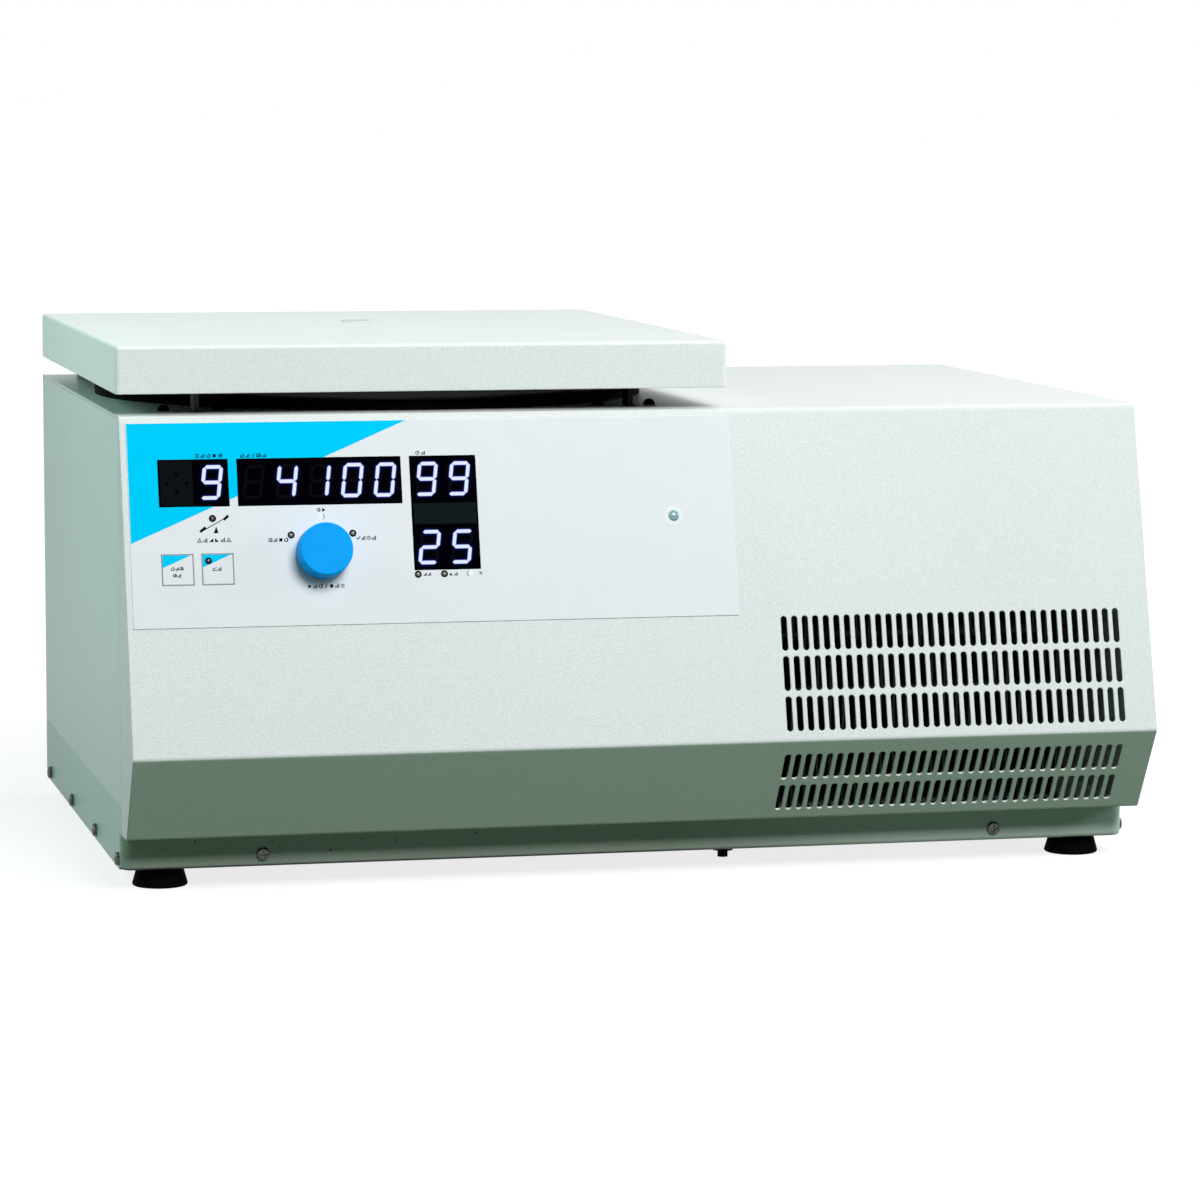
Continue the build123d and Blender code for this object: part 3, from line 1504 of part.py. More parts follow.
condenser_end_x = condenser_x + condenser_w + pipe_end_gap
pipe_x = condenser_x + condenser_w + pipe_out
cold_pipe_x = bulkhead_x + cold_pipe_out
drier_y = compressor_y + compressor_foot_d / 2 + drier_behind
drier_z = pan_floor_z + drier_rise
inlet_pipe_z = pan_floor_z + condenser_h - hot_pipe_drop
bulkhead_face_x = bulkhead_x + bulkhead_t + pipe_end_gap
pipe_routes = (
    # compressor to condenser
    [
        (bay_x + compressor_r - pipe_root, compressor_y, hot_pipe_z),
        (pipe_x, compressor_y, hot_pipe_z),
        (pipe_x, condenser_y, inlet_pipe_z),
        (condenser_end_x, condenser_y, inlet_pipe_z),
    ],
    # condenser through the drier to the chamber
    [
        (condenser_end_x, condenser_y, drier_z),
        (pipe_x, condenser_y, drier_z),
        (pipe_x, drier_y, drier_z),
        (bulkhead_face_x, drier_y, drier_z),
    ],
    # back into the compressor
    [
        (bay_x - compressor_r + pipe_root, compressor_y, cold_pipe_z),
        (cold_pipe_x, compressor_y, cold_pipe_z),
        (cold_pipe_x, compressor_y, cold_pipe_z + cold_pipe_end),
    ],
)
with BuildPart() as refrigerant_pipes:
    for route in pipe_routes:
        add(pipe(route))
    with BuildSketch(Plane.YZ.offset(bay_x - drier_l / 2)):
        with Locations((drier_y, drier_z)):
            Circle(drier_r)
    extrude(amount=drier_l)
    with BuildSketch(Plane.XY.offset(compressor_low_z)):
        with Locations((bay_x, compressor_y)):
            Circle(compressor_r + pipe_end_gap)
    extrude(amount=compressor_h, mode=Mode.SUBTRACT)
write(refrigerant_pipes, "refrigerant_pipes")

board_x = bulkhead_x + bulkhead_t
power_board_y = back_y - power_board_from_back
power_board_z = deck_z - power_board_drop
pillar_span_l = power_board_l - 2 * power_pillar_in
pillar_span_h = power_board_h - 2 * power_pillar_in
with BuildPart() as power_board:
    with BuildSketch(Plane.YZ.offset(board_x)):
        with Locations((power_board_y, power_board_z)):
            with GridLocations(pillar_span_l, pillar_span_h, 2, 2):
                Circle(pillar_r)
    extrude(amount=power_board_stand)
    with BuildSketch(Plane.YZ.offset(board_x + power_board_stand)):
        with Locations((power_board_y, power_board_z)):
            Rectangle(power_board_l, power_board_h)
    extrude(amount=board_t)
    parts_face = board_x + power_board_stand + board_t
    for along, up, length, height, thickness in power_blocks:
        with BuildSketch(Plane.YZ.offset(parts_face)):
            with Locations((power_board_y + along, power_board_z + up)):
                Rectangle(length, height)
        extrude(amount=thickness)
    with BuildSketch(Plane.YZ.offset(parts_face)):
        with Locations(*[(power_board_y + along, power_board_z + up) for along, up in capacitor_places]):
            Circle(capacitor_r)
    extrude(amount=capacitor_h)
write(power_board, "power_board")

# ------------------------------------------------------------------ mains inlet and switch
socket_x = inlet_x - socket_from_middle
rocker_x = inlet_x + socket_from_middle
inlet_face_y = back_y + inlet_flange_t
rocker_pivot_y = inlet_face_y - rocker_pivot_in
rocker_r = rocker_h / 2
cavity_w, cavity_h = rocker_w + 2 * rocker_gap, rocker_h + 2 * rocker_gap
socket_floor_y = inlet_face_y - socket_depth

with BuildPart() as mains_inlet:
    with BuildSketch(Plane.XZ.offset(-back_y)):
        with Locations((inlet_x, inlet_z)):
            RectangleRounded(inlet_w, inlet_h, inlet_corner_r)
    extrude(amount=-inlet_flange_t)
    with BuildSketch(Plane.XZ.offset(-back_y)):
        with Locations((inlet_x, inlet_z)):
            Rectangle(inlet_body_w, inlet_body_h)
    extrude(amount=inlet_body_d)
    with BuildSketch(Plane.XZ.offset(-inlet_face_y)):
        with Locations((socket_x, inlet_z)):
            Rectangle(socket_w, socket_h)
    extrude(amount=socket_depth, mode=Mode.SUBTRACT)
    with BuildSketch(Plane.XZ.offset(-inlet_face_y)):
        with Locations((rocker_x, inlet_z)):
            Rectangle(cavity_w, cavity_h)
    extrude(amount=rocker_depth, mode=Mode.SUBTRACT)
    with BuildSketch(Plane.XZ.offset(-socket_floor_y)):
        with Locations(
            (socket_x - blade_pin_spread, inlet_z - blade_pin_step),
            (socket_x, inlet_z + blade_pin_step),
            (socket_x + blade_pin_spread, inlet_z - blade_pin_step),
        ):
            Rectangle(blade_pin_w, blade_pin_h)
    extrude(amount=-blade_pin_l)
    with BuildSketch(Plane.YZ.offset(rocker_x - cavity_w / 2 - rocker_pin_hole_l)):
        with Locations((rocker_pivot_y, inlet_z)):
            Circle(rocker_pin_r + hinge_running)
    extrude(amount=cavity_w + 2 * rocker_pin_hole_l, mode=Mode.SUBTRACT)
write(mains_inlet, "mains_inlet")

with BuildPart() as power_rocker:
    with BuildSketch(tilted(rocker_x - rocker_w / 2, rocker_pivot_y, inlet_z, -rocker_throw)):
        Circle(rocker_r)
        with BuildLine():
            Polyline(
                (rocker_hollow, 0),
                (rocker_tip, rocker_r),
                (rocker_r, rocker_r),
                (rocker_r, -rocker_r),
                (rocker_tip, -rocker_r),
                close=True,
            )
        make_face(mode=Mode.SUBTRACT)
        with Locations((-rocker_back, 0)):
            Rectangle(rocker_r, 2 * rocker_r, align=(Align.MAX, Align.CENTER), mode=Mode.SUBTRACT)
    extrude(amount=rocker_w)
    with BuildSketch(Plane.YZ.offset(rocker_x - cavity_w / 2 - rocker_pin_l)):
        with Locations((rocker_pivot_y, inlet_z)):
            Circle(rocker_pin_r)
    extrude(amount=cavity_w + 2 * rocker_pin_l)
write(power_rocker, "power_rocker")
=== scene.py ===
"""The looks of the microplate centrifuge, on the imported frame.

Metres, with +X to the right, -Y to the front and +Z up.
"""

import math

import bpy
from mathutils import Matrix, Vector


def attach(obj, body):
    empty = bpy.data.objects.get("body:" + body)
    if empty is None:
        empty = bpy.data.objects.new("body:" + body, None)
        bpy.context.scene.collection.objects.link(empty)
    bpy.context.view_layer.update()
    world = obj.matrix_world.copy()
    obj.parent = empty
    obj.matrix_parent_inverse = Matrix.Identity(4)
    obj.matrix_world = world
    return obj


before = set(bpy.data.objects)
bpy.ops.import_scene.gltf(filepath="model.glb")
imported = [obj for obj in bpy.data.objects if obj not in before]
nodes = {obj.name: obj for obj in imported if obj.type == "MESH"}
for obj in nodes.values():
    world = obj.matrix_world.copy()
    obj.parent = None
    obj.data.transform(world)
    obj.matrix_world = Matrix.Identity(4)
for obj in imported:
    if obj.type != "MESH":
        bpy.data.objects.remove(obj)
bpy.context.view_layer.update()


def srgb(red, green, blue):
    """A screen colour, 0 to 255, as the linear colour that the shaders take."""
    values = []
    for value in (red / 255, green / 255, blue / 255):
        values.append(value / 12.92 if value <= 0.04045 else ((value + 0.055) / 1.055) ** 2.4)
    return (*values, 1.0)


def shade(color, factor):
    """The same colour, lighter or darker."""
    return (*[min(1.0, part * factor) for part in color[:3]], 1.0)


def add_node(tree, kind, **settings):
    """A new node in a tree, with its settings."""
    made = tree.nodes.new(kind)
    for key, value in settings.items():
        setattr(made, key, value)
    return made


# ------------------------------------------------------------------ materials
class Surface:
    """A Principled material built up from node textures in the piece's own coordinates.

    Its methods that change the look return the surface itself, so that they can be chained.
    """

    def __init__(self, name, color, rough, metal=0.0, specular=0.5):
        self.material = bpy.data.materials.new(name)
        self.material.use_nodes = True
        self.tree = self.material.node_tree
        self.shader = self.tree.nodes["Principled BSDF"]
        self.color = color
        self.shader.inputs["Base Color"].default_value = color
        self.shader.inputs["Roughness"].default_value = rough
        self.shader.inputs["Metallic"].default_value = metal
        self.shader.inputs["Specular IOR Level"].default_value = specular
        self.where = self.node("ShaderNodeTexCoord").outputs["Object"]
        self.normal = None

    def node(self, kind, **settings):
        return add_node(self.tree, kind, **settings)

    def link(self, source, target):
        self.tree.links.new(source, target)

    def math(self, operation, first, second=None):
        """A math node of sockets or numbers."""
        made = self.node("ShaderNodeMath", operation=operation)
        for socket, value in zip(made.inputs, (first, second)):
            if isinstance(value, (int, float)):
                socket.default_value = value
            elif value is not None:
                self.link(value, socket)
        return made.outputs[0]

    def part(self, source, axis):
        """One coordinate of a vector."""
        parts = self.node("ShaderNodeSeparateXYZ")
        self.link(source, parts.inputs[0])
        return parts.outputs[axis]

    def along(self, axis):
        """Where a point of the surface lies along an axis."""
        return self.part(self.where, axis)

    def noise(self, size, detail=2.0, stretch=(1, 1, 1), where=None):
        """Noise with features of about a size in metres, drawn out along an axis by stretch."""
        mapping = self.node("ShaderNodeMapping")
        mapping.inputs["Scale"].default_value = [1 / (size * part) for part in stretch]
        self.link(where or self.where, mapping.inputs["Vector"])
        made = self.node("ShaderNodeTexNoise")
        made.inputs["Scale"].default_value = 1.0
        made.inputs["Detail"].default_value = detail
        self.link(mapping.outputs[0], made.inputs["Vector"])
        return made.outputs["Fac"]

    def remap(self, source, low, high, to_low=0.0, to_high=1.0):
        """A value moved from one range to another, and held inside it."""
        made = self.node("ShaderNodeMapRange")
        for name, value in (
            ("From Min", low),
            ("From Max", high),
            ("To Min", to_low),
            ("To Max", to_high),
        ):
            made.inputs[name].default_value = value
        self.link(source, made.inputs["Value"])
        return made.outputs["Result"]

    def tint(self, source, color, amount=1.0):
        """Mix a colour into the base colour where source is high."""
        mix = self.node("ShaderNodeMix", data_type="RGBA")
        target = self.shader.inputs["Base Color"]
        if target.is_linked:
            self.link(target.links[0].from_socket, mix.inputs["A"])
        else:
            mix.inputs["A"].default_value = self.color
        mix.inputs["B"].default_value = color
        self.link(self.math("MULTIPLY", source, amount), mix.inputs["Factor"])
        self.link(mix.outputs["Result"], target)
        return self

    def vary(self, size, amount, stretch=(1, 1, 1)):
        """Slow changes of colour over the surface."""
        spread = self.remap(self.noise(size, 3.0, stretch), 0.3, 0.7)
        return self.tint(spread, shade(self.color, 1 - amount))

    def gloss(self, size, low, high, stretch=(1, 1, 1)):
        """Roughness that changes between two values."""
        spread = self.remap(self.noise(size, 3.0, stretch), 0.3, 0.7, low, high)
        self.link(spread, self.shader.inputs["Roughness"])
        return self

    def bump(self, source, height):
        """Relief of a height in metres."""
        made = self.node("ShaderNodeBump")
        made.inputs["Strength"].default_value = 1.0
        made.inputs["Distance"].default_value = height
        self.link(source, made.inputs["Height"])
        if self.normal:
            self.link(self.normal, made.inputs["Normal"])
        self.normal = made.outputs["Normal"]
        self.link(self.normal, self.shader.inputs["Normal"])
        return self

    def grain(self, size, height, detail=2.0, stretch=(1, 1, 1)):
        """Relief of noise, with features of about a size."""
        return self.bump(self.noise(size, detail, stretch), height)

    def soften(self, radius):
        """Edges that catch the light as if they had a small radius."""
        made = self.node("ShaderNodeBevel", samples=4)
        made.inputs["Radius"].default_value = radius
        self.normal = made.outputs["Normal"]
        self.link(self.normal, self.shader.inputs["Normal"])
        return self

    def rings(self, centre, size, height):
        """Fine turning marks round an upright axis."""
        apart = self.node("ShaderNodeVectorMath", operation="SUBTRACT")
        apart.inputs[1].default_value = centre
        self.link(self.where, apart.inputs[0])
        x, y, z = [self.part(apart.outputs[0], axis) for axis in "XYZ"]
        squares = self.math("ADD", self.math("MULTIPLY", x, x), self.math("MULTIPLY", y, y))
        place = self.node("ShaderNodeCombineXYZ")
        self.link(self.math("SQRT", squares), place.inputs["X"])
        self.link(z, place.inputs["Z"])
        marks = self.noise(size, 3.0, where=place.outputs[0])
        self.bump(marks, height)
        self.link(self.remap(marks, 0.3, 0.7, 0.22, 0.42), self.shader.inputs["Roughness"])
        return self

    def only_below(self, height, softness):
        """1 below a height, and 0 above it."""
        return self.remap(self.along("Z"), height - softness, height, 1.0, 0.0)


def powder_coat(name, color, sides=None, bands=(), specular=0.2):
    """Textured powder coat: a fine orange peel with a slight sheen.

    sides are painted light and shade: the colours that faces looking down, up and to the left
    take, for how the light falls on them; each band is a height, a softness and a colour that the
    coat takes below that height.
    """
    made = Surface(name, color, 0.32, specular=specular)
    made.vary(0.12, 0.02).soften(0.0009)
    normal = made.node("ShaderNodeNewGeometry").outputs["Normal"]
    leftward, upward = made.part(normal, "X"), made.part(normal, "Z")
    if sides:
        # Painted shade where faces look down, painted light where they look up, painted shade
        # where they look left.
        made.tint(made.remap(upward, -0.35, -0.15, 1.0, 0.0), sides[0])
        made.tint(made.remap(upward, 0.5, 0.95), sides[1])
        made.tint(made.remap(leftward, -0.95, -0.8, 1.0, 0.0), sides[2])
    for height, softness, deeper in bands:
        made.tint(made.only_below(height, softness), deeper)
    peel = made.remap(made.noise(0.0011, 2.0), 0.35, 0.65)
    made.tint(peel, (0.0, 0.0, 0.0, 1.0), 0.10)
    return made.bump(peel, 0.000035)


def brushed(name, color, rough, stretch, height=0.00002):
    """Metal with brush marks drawn out along an axis."""
    made = Surface(name, color, rough, metal=1.0)
    made.vary(0.02, 0.08, stretch).gloss(0.002, rough * 0.8, rough * 1.25, stretch).soften(0.0003)
    return made.grain(0.0005, height, 2.0, stretch)


def moulded(name, color, rough, size=0.0007, height=0.00003, specular=0.5):
    """Moulded plastic or rubber with a fine spark-eroded texture."""
    made = Surface(name, color, rough, specular=specular)
    made.vary(0.015, 0.06).gloss(0.006, rough * 0.85, min(1.0, rough * 1.15)).soften(0.0003)
    return made.grain(size, height)


def emitter(name, color):
    """A lit marking, which hardly reflects; its light is a little uneven."""
    made = Surface(name, (0.002, 0.002, 0.004, 1.0), 0.6, specular=0.0)
    made.shader.inputs["Emission Color"].default_value = color
    strength = made.remap(made.noise(0.004, 1.0), 0.2, 0.8, 0.94, 1.0)
    made.link(strength, made.shader.inputs["Emission Strength"])
    return made


def ink(name, color):
    """Screen print: a flat, slightly mottled film."""
    made = Surface(name, color, 0.5, specular=0.0)
    return made.vary(0.01, 0.03).gloss(0.004, 0.4, 0.5).grain(0.0005, 0.000006, 1.0)


PAINT = (0.725, 0.765, 0.765, 1.0)
# Painted light and shade of the front cover and rear panel: darker below, lighter on top, darker
# on the left.
PAINTED_SHADE_BELOW = (0.39, 0.515, 0.42, 1.0)
PAINTED_LIGHT_ON_TOP = (0.86, 0.895, 0.89, 1.0)
PAINTED_SHADE_LEFT = (0.50, 0.55, 0.55, 1.0)
BLACK = (0.008, 0.008, 0.009, 1.0)
CHAMBER = (-0.12425, 0.0198, 0.0)  # the rotor's axis, at the floor

paint = powder_coat("powder_coat", PAINT, (PAINTED_SHADE_BELOW, PAINTED_LIGHT_ON_TOP, PAINTED_SHADE_LEFT))
# The side panels are darker below 50 mm: painted shade, for the dark floor their lower part faces.
side_painted_shade_band = (0.050, 0.0015, (0.45, 0.61, 0.565, 1.0))
side_paint = powder_coat("powder_coat_side", PAINT, bands=[side_painted_shade_band], specular=0.06)
# The lid takes a lighter copy of the cabinet's paint: painted light.
lit_lid_paint = powder_coat("powder_coat_lid", (0.85, 0.895, 0.89, 1.0))

# The plinth: a darker copy of the paint, painted shade for the shade it stands in under the cover,
# with a painted shadow line along its lower edge, grit on it, and painted light that makes it
# lighter to the right.
# Painted shadow: a near black band along the plinth's lower edge.
plinth_painted_shadow_line = (0.0134, 0.0003, (0.012, 0.014, 0.012, 1.0))
plinth = powder_coat("powder_coat_plinth", (0.42, 0.50, 0.42, 1.0), bands=[plinth_painted_shadow_line])
grit_apart = 0.011
cells = plinth.node("ShaderNodeTexVoronoi", feature="F1")
cells.inputs["Scale"].default_value = 1 / grit_apart
plinth.link(plinth.where, cells.inputs["Vector"])
grit = plinth.remap(cells.outputs["Distance"], 0.06, 0.09, 1.0, 0.0)
plinth.tint(grit, (0.02, 0.024, 0.02, 1.0), 0.8)
# Painted light: lighter towards the right end, where light falls in under the cover.
plinth.tint(plinth.remap(plinth.along("X"), 0.02, 0.16), (0.62, 0.74, 0.66, 1.0), 0.9)

foil = Surface("foil", (0.75, 0.775, 0.815, 1.0), 0.42, specular=0.15)
foil.vary(0.03, 0.012).gloss(0.01, 0.36, 0.48).soften(0.0002).grain(0.0009, 0.000012, 1.0)

window = Surface("display_window", (0.0007, 0.0009, 0.0026, 1.0), 0.12, specular=0.0)
window.vary(0.02, 0.3).gloss(0.02, 0.08, 0.16).grain(0.004, 0.000004, 1.0)

matt_blocks = []
for color in (srgb(9, 14, 18), srgb(17, 24, 28)):
    matt = Surface("display_block", color, 0.75, specular=0.02)
    matt_blocks.append(matt.vary(0.004, 0.12).grain(0.0006, 0.00003))

stainless = Surface("spun_stainless", (0.56, 0.56, 0.55, 1.0), 0.3, metal=1.0)
stainless.vary(0.05, 0.06).rings(CHAMBER, 0.0008, 0.00002)

turned_steel = Surface("turned_steel", (0.60, 0.60, 0.61, 1.0), 0.25, metal=1.0)
turned_steel.vary(0.01, 0.05).soften(0.0003).rings(CHAMBER, 0.0004, 0.000008)

rubber = moulded("rubber", (0.003, 0.003, 0.0035, 1.0), 0.75, 0.0009, 0.00005, 0.02)
black_plastic = moulded("black_plastic", BLACK, 0.45, 0.0006, 0.00004, 0.12)
knob_blue = moulded("knob_blue", (0.0, 0.37, 0.98, 1.0), 0.5, 0.0004, 0.000012, 0.04)
black_steel = powder_coat("black_coat", BLACK)
motor_coat = powder_coat("motor_coat", srgb(86, 92, 98))
zinc = Surface("zinc_plate", (0.58, 0.59, 0.60, 1.0), 0.36, metal=1.0)
zinc.vary(0.006, 0.16).gloss(0.01, 0.28, 0.46).soften(0.0004).grain(0.0015, 0.00001)
aluminium = brushed("milled_aluminium", (0.60, 0.61, 0.62, 1.0), 0.32, (12, 1, 1))
carrier_metal = brushed("anodised_aluminium", (0.42, 0.44, 0.46, 1.0), 0.38, (1, 12, 1))
# The condenser fins are near black: painted shade, for the dark inside behind the vents.
fin_metal = brushed("fin_aluminium", (0.030, 0.034, 0.034, 1.0), 0.55, (1, 1, 10))
# Painted shade: the screws are darkened for the dark surroundings they reflect.
screw_steel = Surface("screw_steel", (0.13, 0.13, 0.12, 1.0), 0.25, metal=0.85)
screw_steel.vary(0.0016, 0.75).gloss(0.001, 0.16, 0.36).soften(0.0003).grain(0.0004, 0.00004)
copper = Surface("copper", (0.62, 0.27, 0.15, 1.0), 0.3, metal=1.0)
copper.vary(0.012, 0.35).gloss(0.008, 0.22, 0.45).grain(0.001, 0.00001)
board = moulded("solder_mask", (0.008, 0.09, 0.035, 1.0), 0.35, 0.0008, 0.00002)
foam = moulded("foam", (0.50, 0.47, 0.38, 1.0), 0.95, 0.0016, 0.0006, 0.2)
clear_led = Surface("led_body", (0.42, 0.44, 0.42, 1.0), 0.15)
clear_led.vary(0.001, 0.2).grain(0.001, 0.000005)
rim_grey = moulded("rim_grey", srgb(206, 214, 212), 0.45, 0.0006, 0.00003)

# The mains inlet: black plastic, and metal at the contact blades, which stand in its socket
# about x 0.196 and z 0.070.
socket_floor_y = 0.1956
inlet = Surface("inlet_plastic", BLACK, 0.45, specular=0.12)
inlet.vary(0.015, 0.06).gloss(0.006, 0.38, 0.52).soften(0.0003).grain(0.0006, 0.00004)
blades = inlet.math("GREATER_THAN", inlet.along("Y"), socket_floor_y)
for axis, middle, reach in (("X", 0.196, 0.0085), ("Z", 0.070, 0.0045)):
    off = inlet.math("ABSOLUTE", inlet.math("SUBTRACT", inlet.along(axis), middle))
    blades = inlet.math("MULTIPLY", blades, inlet.math("LESS_THAN", off, reach))
inlet.tint(blades, (0.62, 0.60, 0.55, 1.0))
inlet.link(blades, inlet.shader.inputs["Metallic"])

# The strikers: the left one is plated steel, and the right one is darkened to near black: painted
# shade.
striker = Surface("striker_steel", (0.11, 0.13, 0.12, 1.0), 0.5, specular=0.1)
striker.vary(0.004, 0.3).soften(0.0004)
right_striker_shade = striker.math("GREATER_THAN", striker.along("X"), CHAMBER[0])
striker.tint(right_striker_shade, (0.006, 0.006, 0.006, 1.0))
striker.grain(0.0008, 0.00002)

lamp_lens = Surface("lamp_lens", srgb(140, 180, 187), 0.16)
lamp_lens.shader.inputs["Subsurface Weight"].default_value = 0.3
lamp_lens.shader.inputs["Subsurface Radius"].default_value = (0.002, 0.002, 0.002)
lamp_lens.vary(0.0012, 0.25).grain(0.0008, 0.00002)

glass = Surface("port_glass", (0.74, 0.78, 0.77, 1.0), 0.3)
glass.shader.inputs["Transmission Weight"].default_value = 0.35
glass.shader.inputs["IOR"].default_value = 1.49
glass.vary(0.004, 0.12).gloss(0.004, 0.22, 0.4).grain(0.002, 0.0001)

# The nodes that take each surface.
looks = {
    paint: "front_cover rear_panel",
    side_paint: "left_side_panel right_side_panel",
    plinth: "base_pan",
    lit_lid_paint: "lid_shell",
    rubber: "rubber_feet chamber_gasket lid_buffers shaft_boot rubber_mounts drain_spout",
    screw_steel: "cover_screws foot_screws",
    striker: "lid_strikers",
    zinc: "bulkhead lock_brackets lock_hook_left lock_hook_right motor_flange",
    # The lid's inner panel and the fan shroud take the black coat: painted shade, for the dark gap
    # under the lid and behind the vents.
    black_steel: "hinge_base_leaf hinge_lid_leaf compressor lid_inner_panel fan_shroud",
    turned_steel: "hinge_pin trunnion_pins drive_shaft encoder_body encoder_sleeve encoder_shaft",
    foil: "front_overlay mode_key lid_key",
    window: "display_windows",
    black_plastic: "digit_modules lock_actuators key_switches fan_frame fan_impeller power_rocker",
    inlet: "mains_inlet",
    board: "display_board power_board",
    clear_led: "indicator_leds",
    lamp_lens: "status_lamp",
    knob_blue: "knob",
    foam: "lid_insulation chamber_insulation",
    stainless: "chamber_bowl",
    copper: "evaporator_coil refrigerant_pipes",
    fin_metal: "condenser",
    motor_coat: "motor_housing",
    aluminium: "rotor_head rotor_lock_screw",
    carrier_metal: "carrier_left carrier_right",
    rim_grey: "port_rim",
    glass: "port_glass",
}
for look, names in looks.items():
    for name in names.split():
        slots = nodes[name].data.materials
        slots.clear()
        slots.append(look.material)

# ------------------------------------------------------------------ drawing on the sloping front
# Places are in mm, from the front's left edge and down from its top edge, and out of its face.
# Prints lie a few hundredths of a millimetre above one another, so that none shares a plane.
MM = 0.001
RIGHT = Vector((1, 0, 0))
DOWN = Vector((0, -50.0, -187.7)).normalized()  # the front's slope
OUT = Vector((0, DOWN.z, -DOWN.y))
CORNER = Vector((-0.3, -0.166, 0.271))  # the front's upper left corner
FACE = 0.5  # the foil's face
KEY_FACE = FACE + 0.1
GLASS = FACE + 0.05


def spot(x, down, out):
    """A place on the front, in metres."""
    return CORNER + (RIGHT * x + DOWN * down + OUT * out) * MM


def piece(name, verts, faces, look, body, smooth=False):
    """A mesh piece that rides on a body."""
    mesh = bpy.data.meshes.new(name)
    mesh.from_pydata(verts, [], faces)
    mesh.validate()
    mesh.materials.append(look.material)
    for face in mesh.polygons:
        face.use_smooth = smooth
    made = bpy.data.objects.new(name, mesh)
    bpy.context.scene.collection.objects.link(made)
    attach(made, body)
    return made


def flat(shapes, place, side=1):
    """The verts and faces of flat shapes, each a loop that is turned to face outwards.

    place gives the place of a point of a shape, and side is -1 where it mirrors the shapes.
    """
    verts, faces = [], []
    for shape in shapes:
        area = sum(a[0] * b[1] - b[0] * a[1] for a, b in zip(shape, shape[1:] + shape[:1]))
        loop = shape if area * side < 0 else shape[::-1]
        faces.append(range(len(verts), len(verts) + len(loop)))
        verts += [place(*point) for point in loop]
    return verts, faces


def printed(name, shapes, out, look, body="cabinet"):
    """Flat shapes on the front."""
    verts, faces = flat(shapes, lambda x, down: spot(x, down, out))
    return piece(name, verts, faces, look, body)


def disc(x, down, radius, sides=28):
    """A round shape."""
    turns = [2 * math.pi * number / sides for number in range(sides)]
    return [(x + radius * math.cos(turn), down + radius * math.sin(turn)) for turn in turns]


def ring(x, down, outer, inner, sides=32):
    """A ring as a set of four-sided shapes."""
    edge, hole = disc(x, down, outer, sides), disc(x, down, inner, sides)
    return [
        [edge[number - 1], edge[number], hole[number], hole[number - 1]] for number in range(sides)
    ]


def bar(start, end, width):
    """A straight stroke with square ends."""
    (x0, y0), (x1, y1) = start, end
    length = math.hypot(x1 - x0, y1 - y0)
    ax, ay = (x1 - x0) / length * width / 2, (y1 - y0) / length * width / 2
    return [
        (x0 - ax - ay, y0 - ay + ax),
        (x1 + ax - ay, y1 + ay + ax),
        (x1 + ax + ay, y1 + ay - ax),
        (x0 - ax + ay, y0 - ay - ax),
    ]


def path(points, width):
    """Strokes from point to point."""
    return [bar(a, b, width) for a, b in zip(points, points[1:])]


def frame_lines(left, top, width, height, line):
    """The outline of a box, as four strokes."""
    right, bottom = left + width, top + height
    corners = [(left, top), (right, top), (right, bottom), (left, bottom), (left, top)]
    return path(corners, line)


# ------------------------------------------------------------------ pictograms
# Each is drawn in a box 2 by 2 about (0, 0), as loops of places, +y down.
def polar(angle, radius=1.0):
    """A place at an angle and a distance from (0, 0)."""
    return radius * math.cos(angle), radius * math.sin(angle)


def arc_line(radius, first, last, width):
    """A curved stroke between two angles in degrees."""
    steps = 10
    angles = [math.radians(first + (last - first) * step / steps) for step in range(steps + 1)]
    return path([polar(angle, radius) for angle in angles], width)


LINE = 0.46
SIXTHS = [math.pi * number / 3 for number in range(6)]
PICTOGRAMS = {
    "list": [bar((-0.3, y), (0.9, y), LINE) for y in (-0.7, 0, 0.7)]
    + [disc(-0.85, y, 0.2, 8) for y in (-0.7, 0, 0.7)],
    "slash": [bar((-0.3, 0.9), (0.3, -0.9), LINE)],
    "turn": arc_line(0.8, -60, 200, LINE) + [[(0.0, -1.25), (0.85, -0.8), (0.1, -0.3)]],
    "gauge": arc_line(0.9, 180, 360, LINE) + [bar((0, 0.1), (0.5, -0.5), LINE)]
    + [bar((-0.9, 0.5), (0.9, 0.5), LINE)],
    "clock": ring(0, 0, 1.0, 0.68, 18) + path([(0, -0.5), (0, 0.05), (0.4, 0.05)], 0.28),
    "cog": ring(0, 0, 0.72, 0.34, 14)
    + [bar(polar(angle, 0.8), polar(angle), 0.34) for angle in SIXTHS],
    "tick": path([(-0.8, 0.0), (-0.2, 0.7), (0.9, -0.8)], 0.42),
    "play": [[(-0.8, -1.0), (0.9, 0.0), (-0.8, 1.0)]],
    "stop": [[(-0.8, -0.8), (0.8, -0.8), (0.8, 0.8), (-0.8, 0.8)]],
    "warn": path([(0, -0.9), (1.0, 0.85), (-1.0, 0.85), (0, -0.9)], 0.3) + [disc(0, 0.4, 0.22, 8)],
    "bars": [bar((x, 0.8), (x, top), LINE) for x, top in ((-0.7, 0.2), (0, -0.3), (0.7, -0.8))],
    "lid": path([(-1.0, 0.8), (1.0, 0.8)], 0.4) + path([(-1.0, 0.2), (0.9, -0.8)], 0.4),
    "rise": [[(-1.0, 0.9), (1.0, 0.9), (1.0, -0.9)]],
    "fall": [[(-1.0, -0.9), (1.0, 0.9), (-1.0, 0.9)]],
    "flake": [bar(polar(angle, -1.0), polar(angle), 0.28) for angle in SIXTHS[:3]],
}


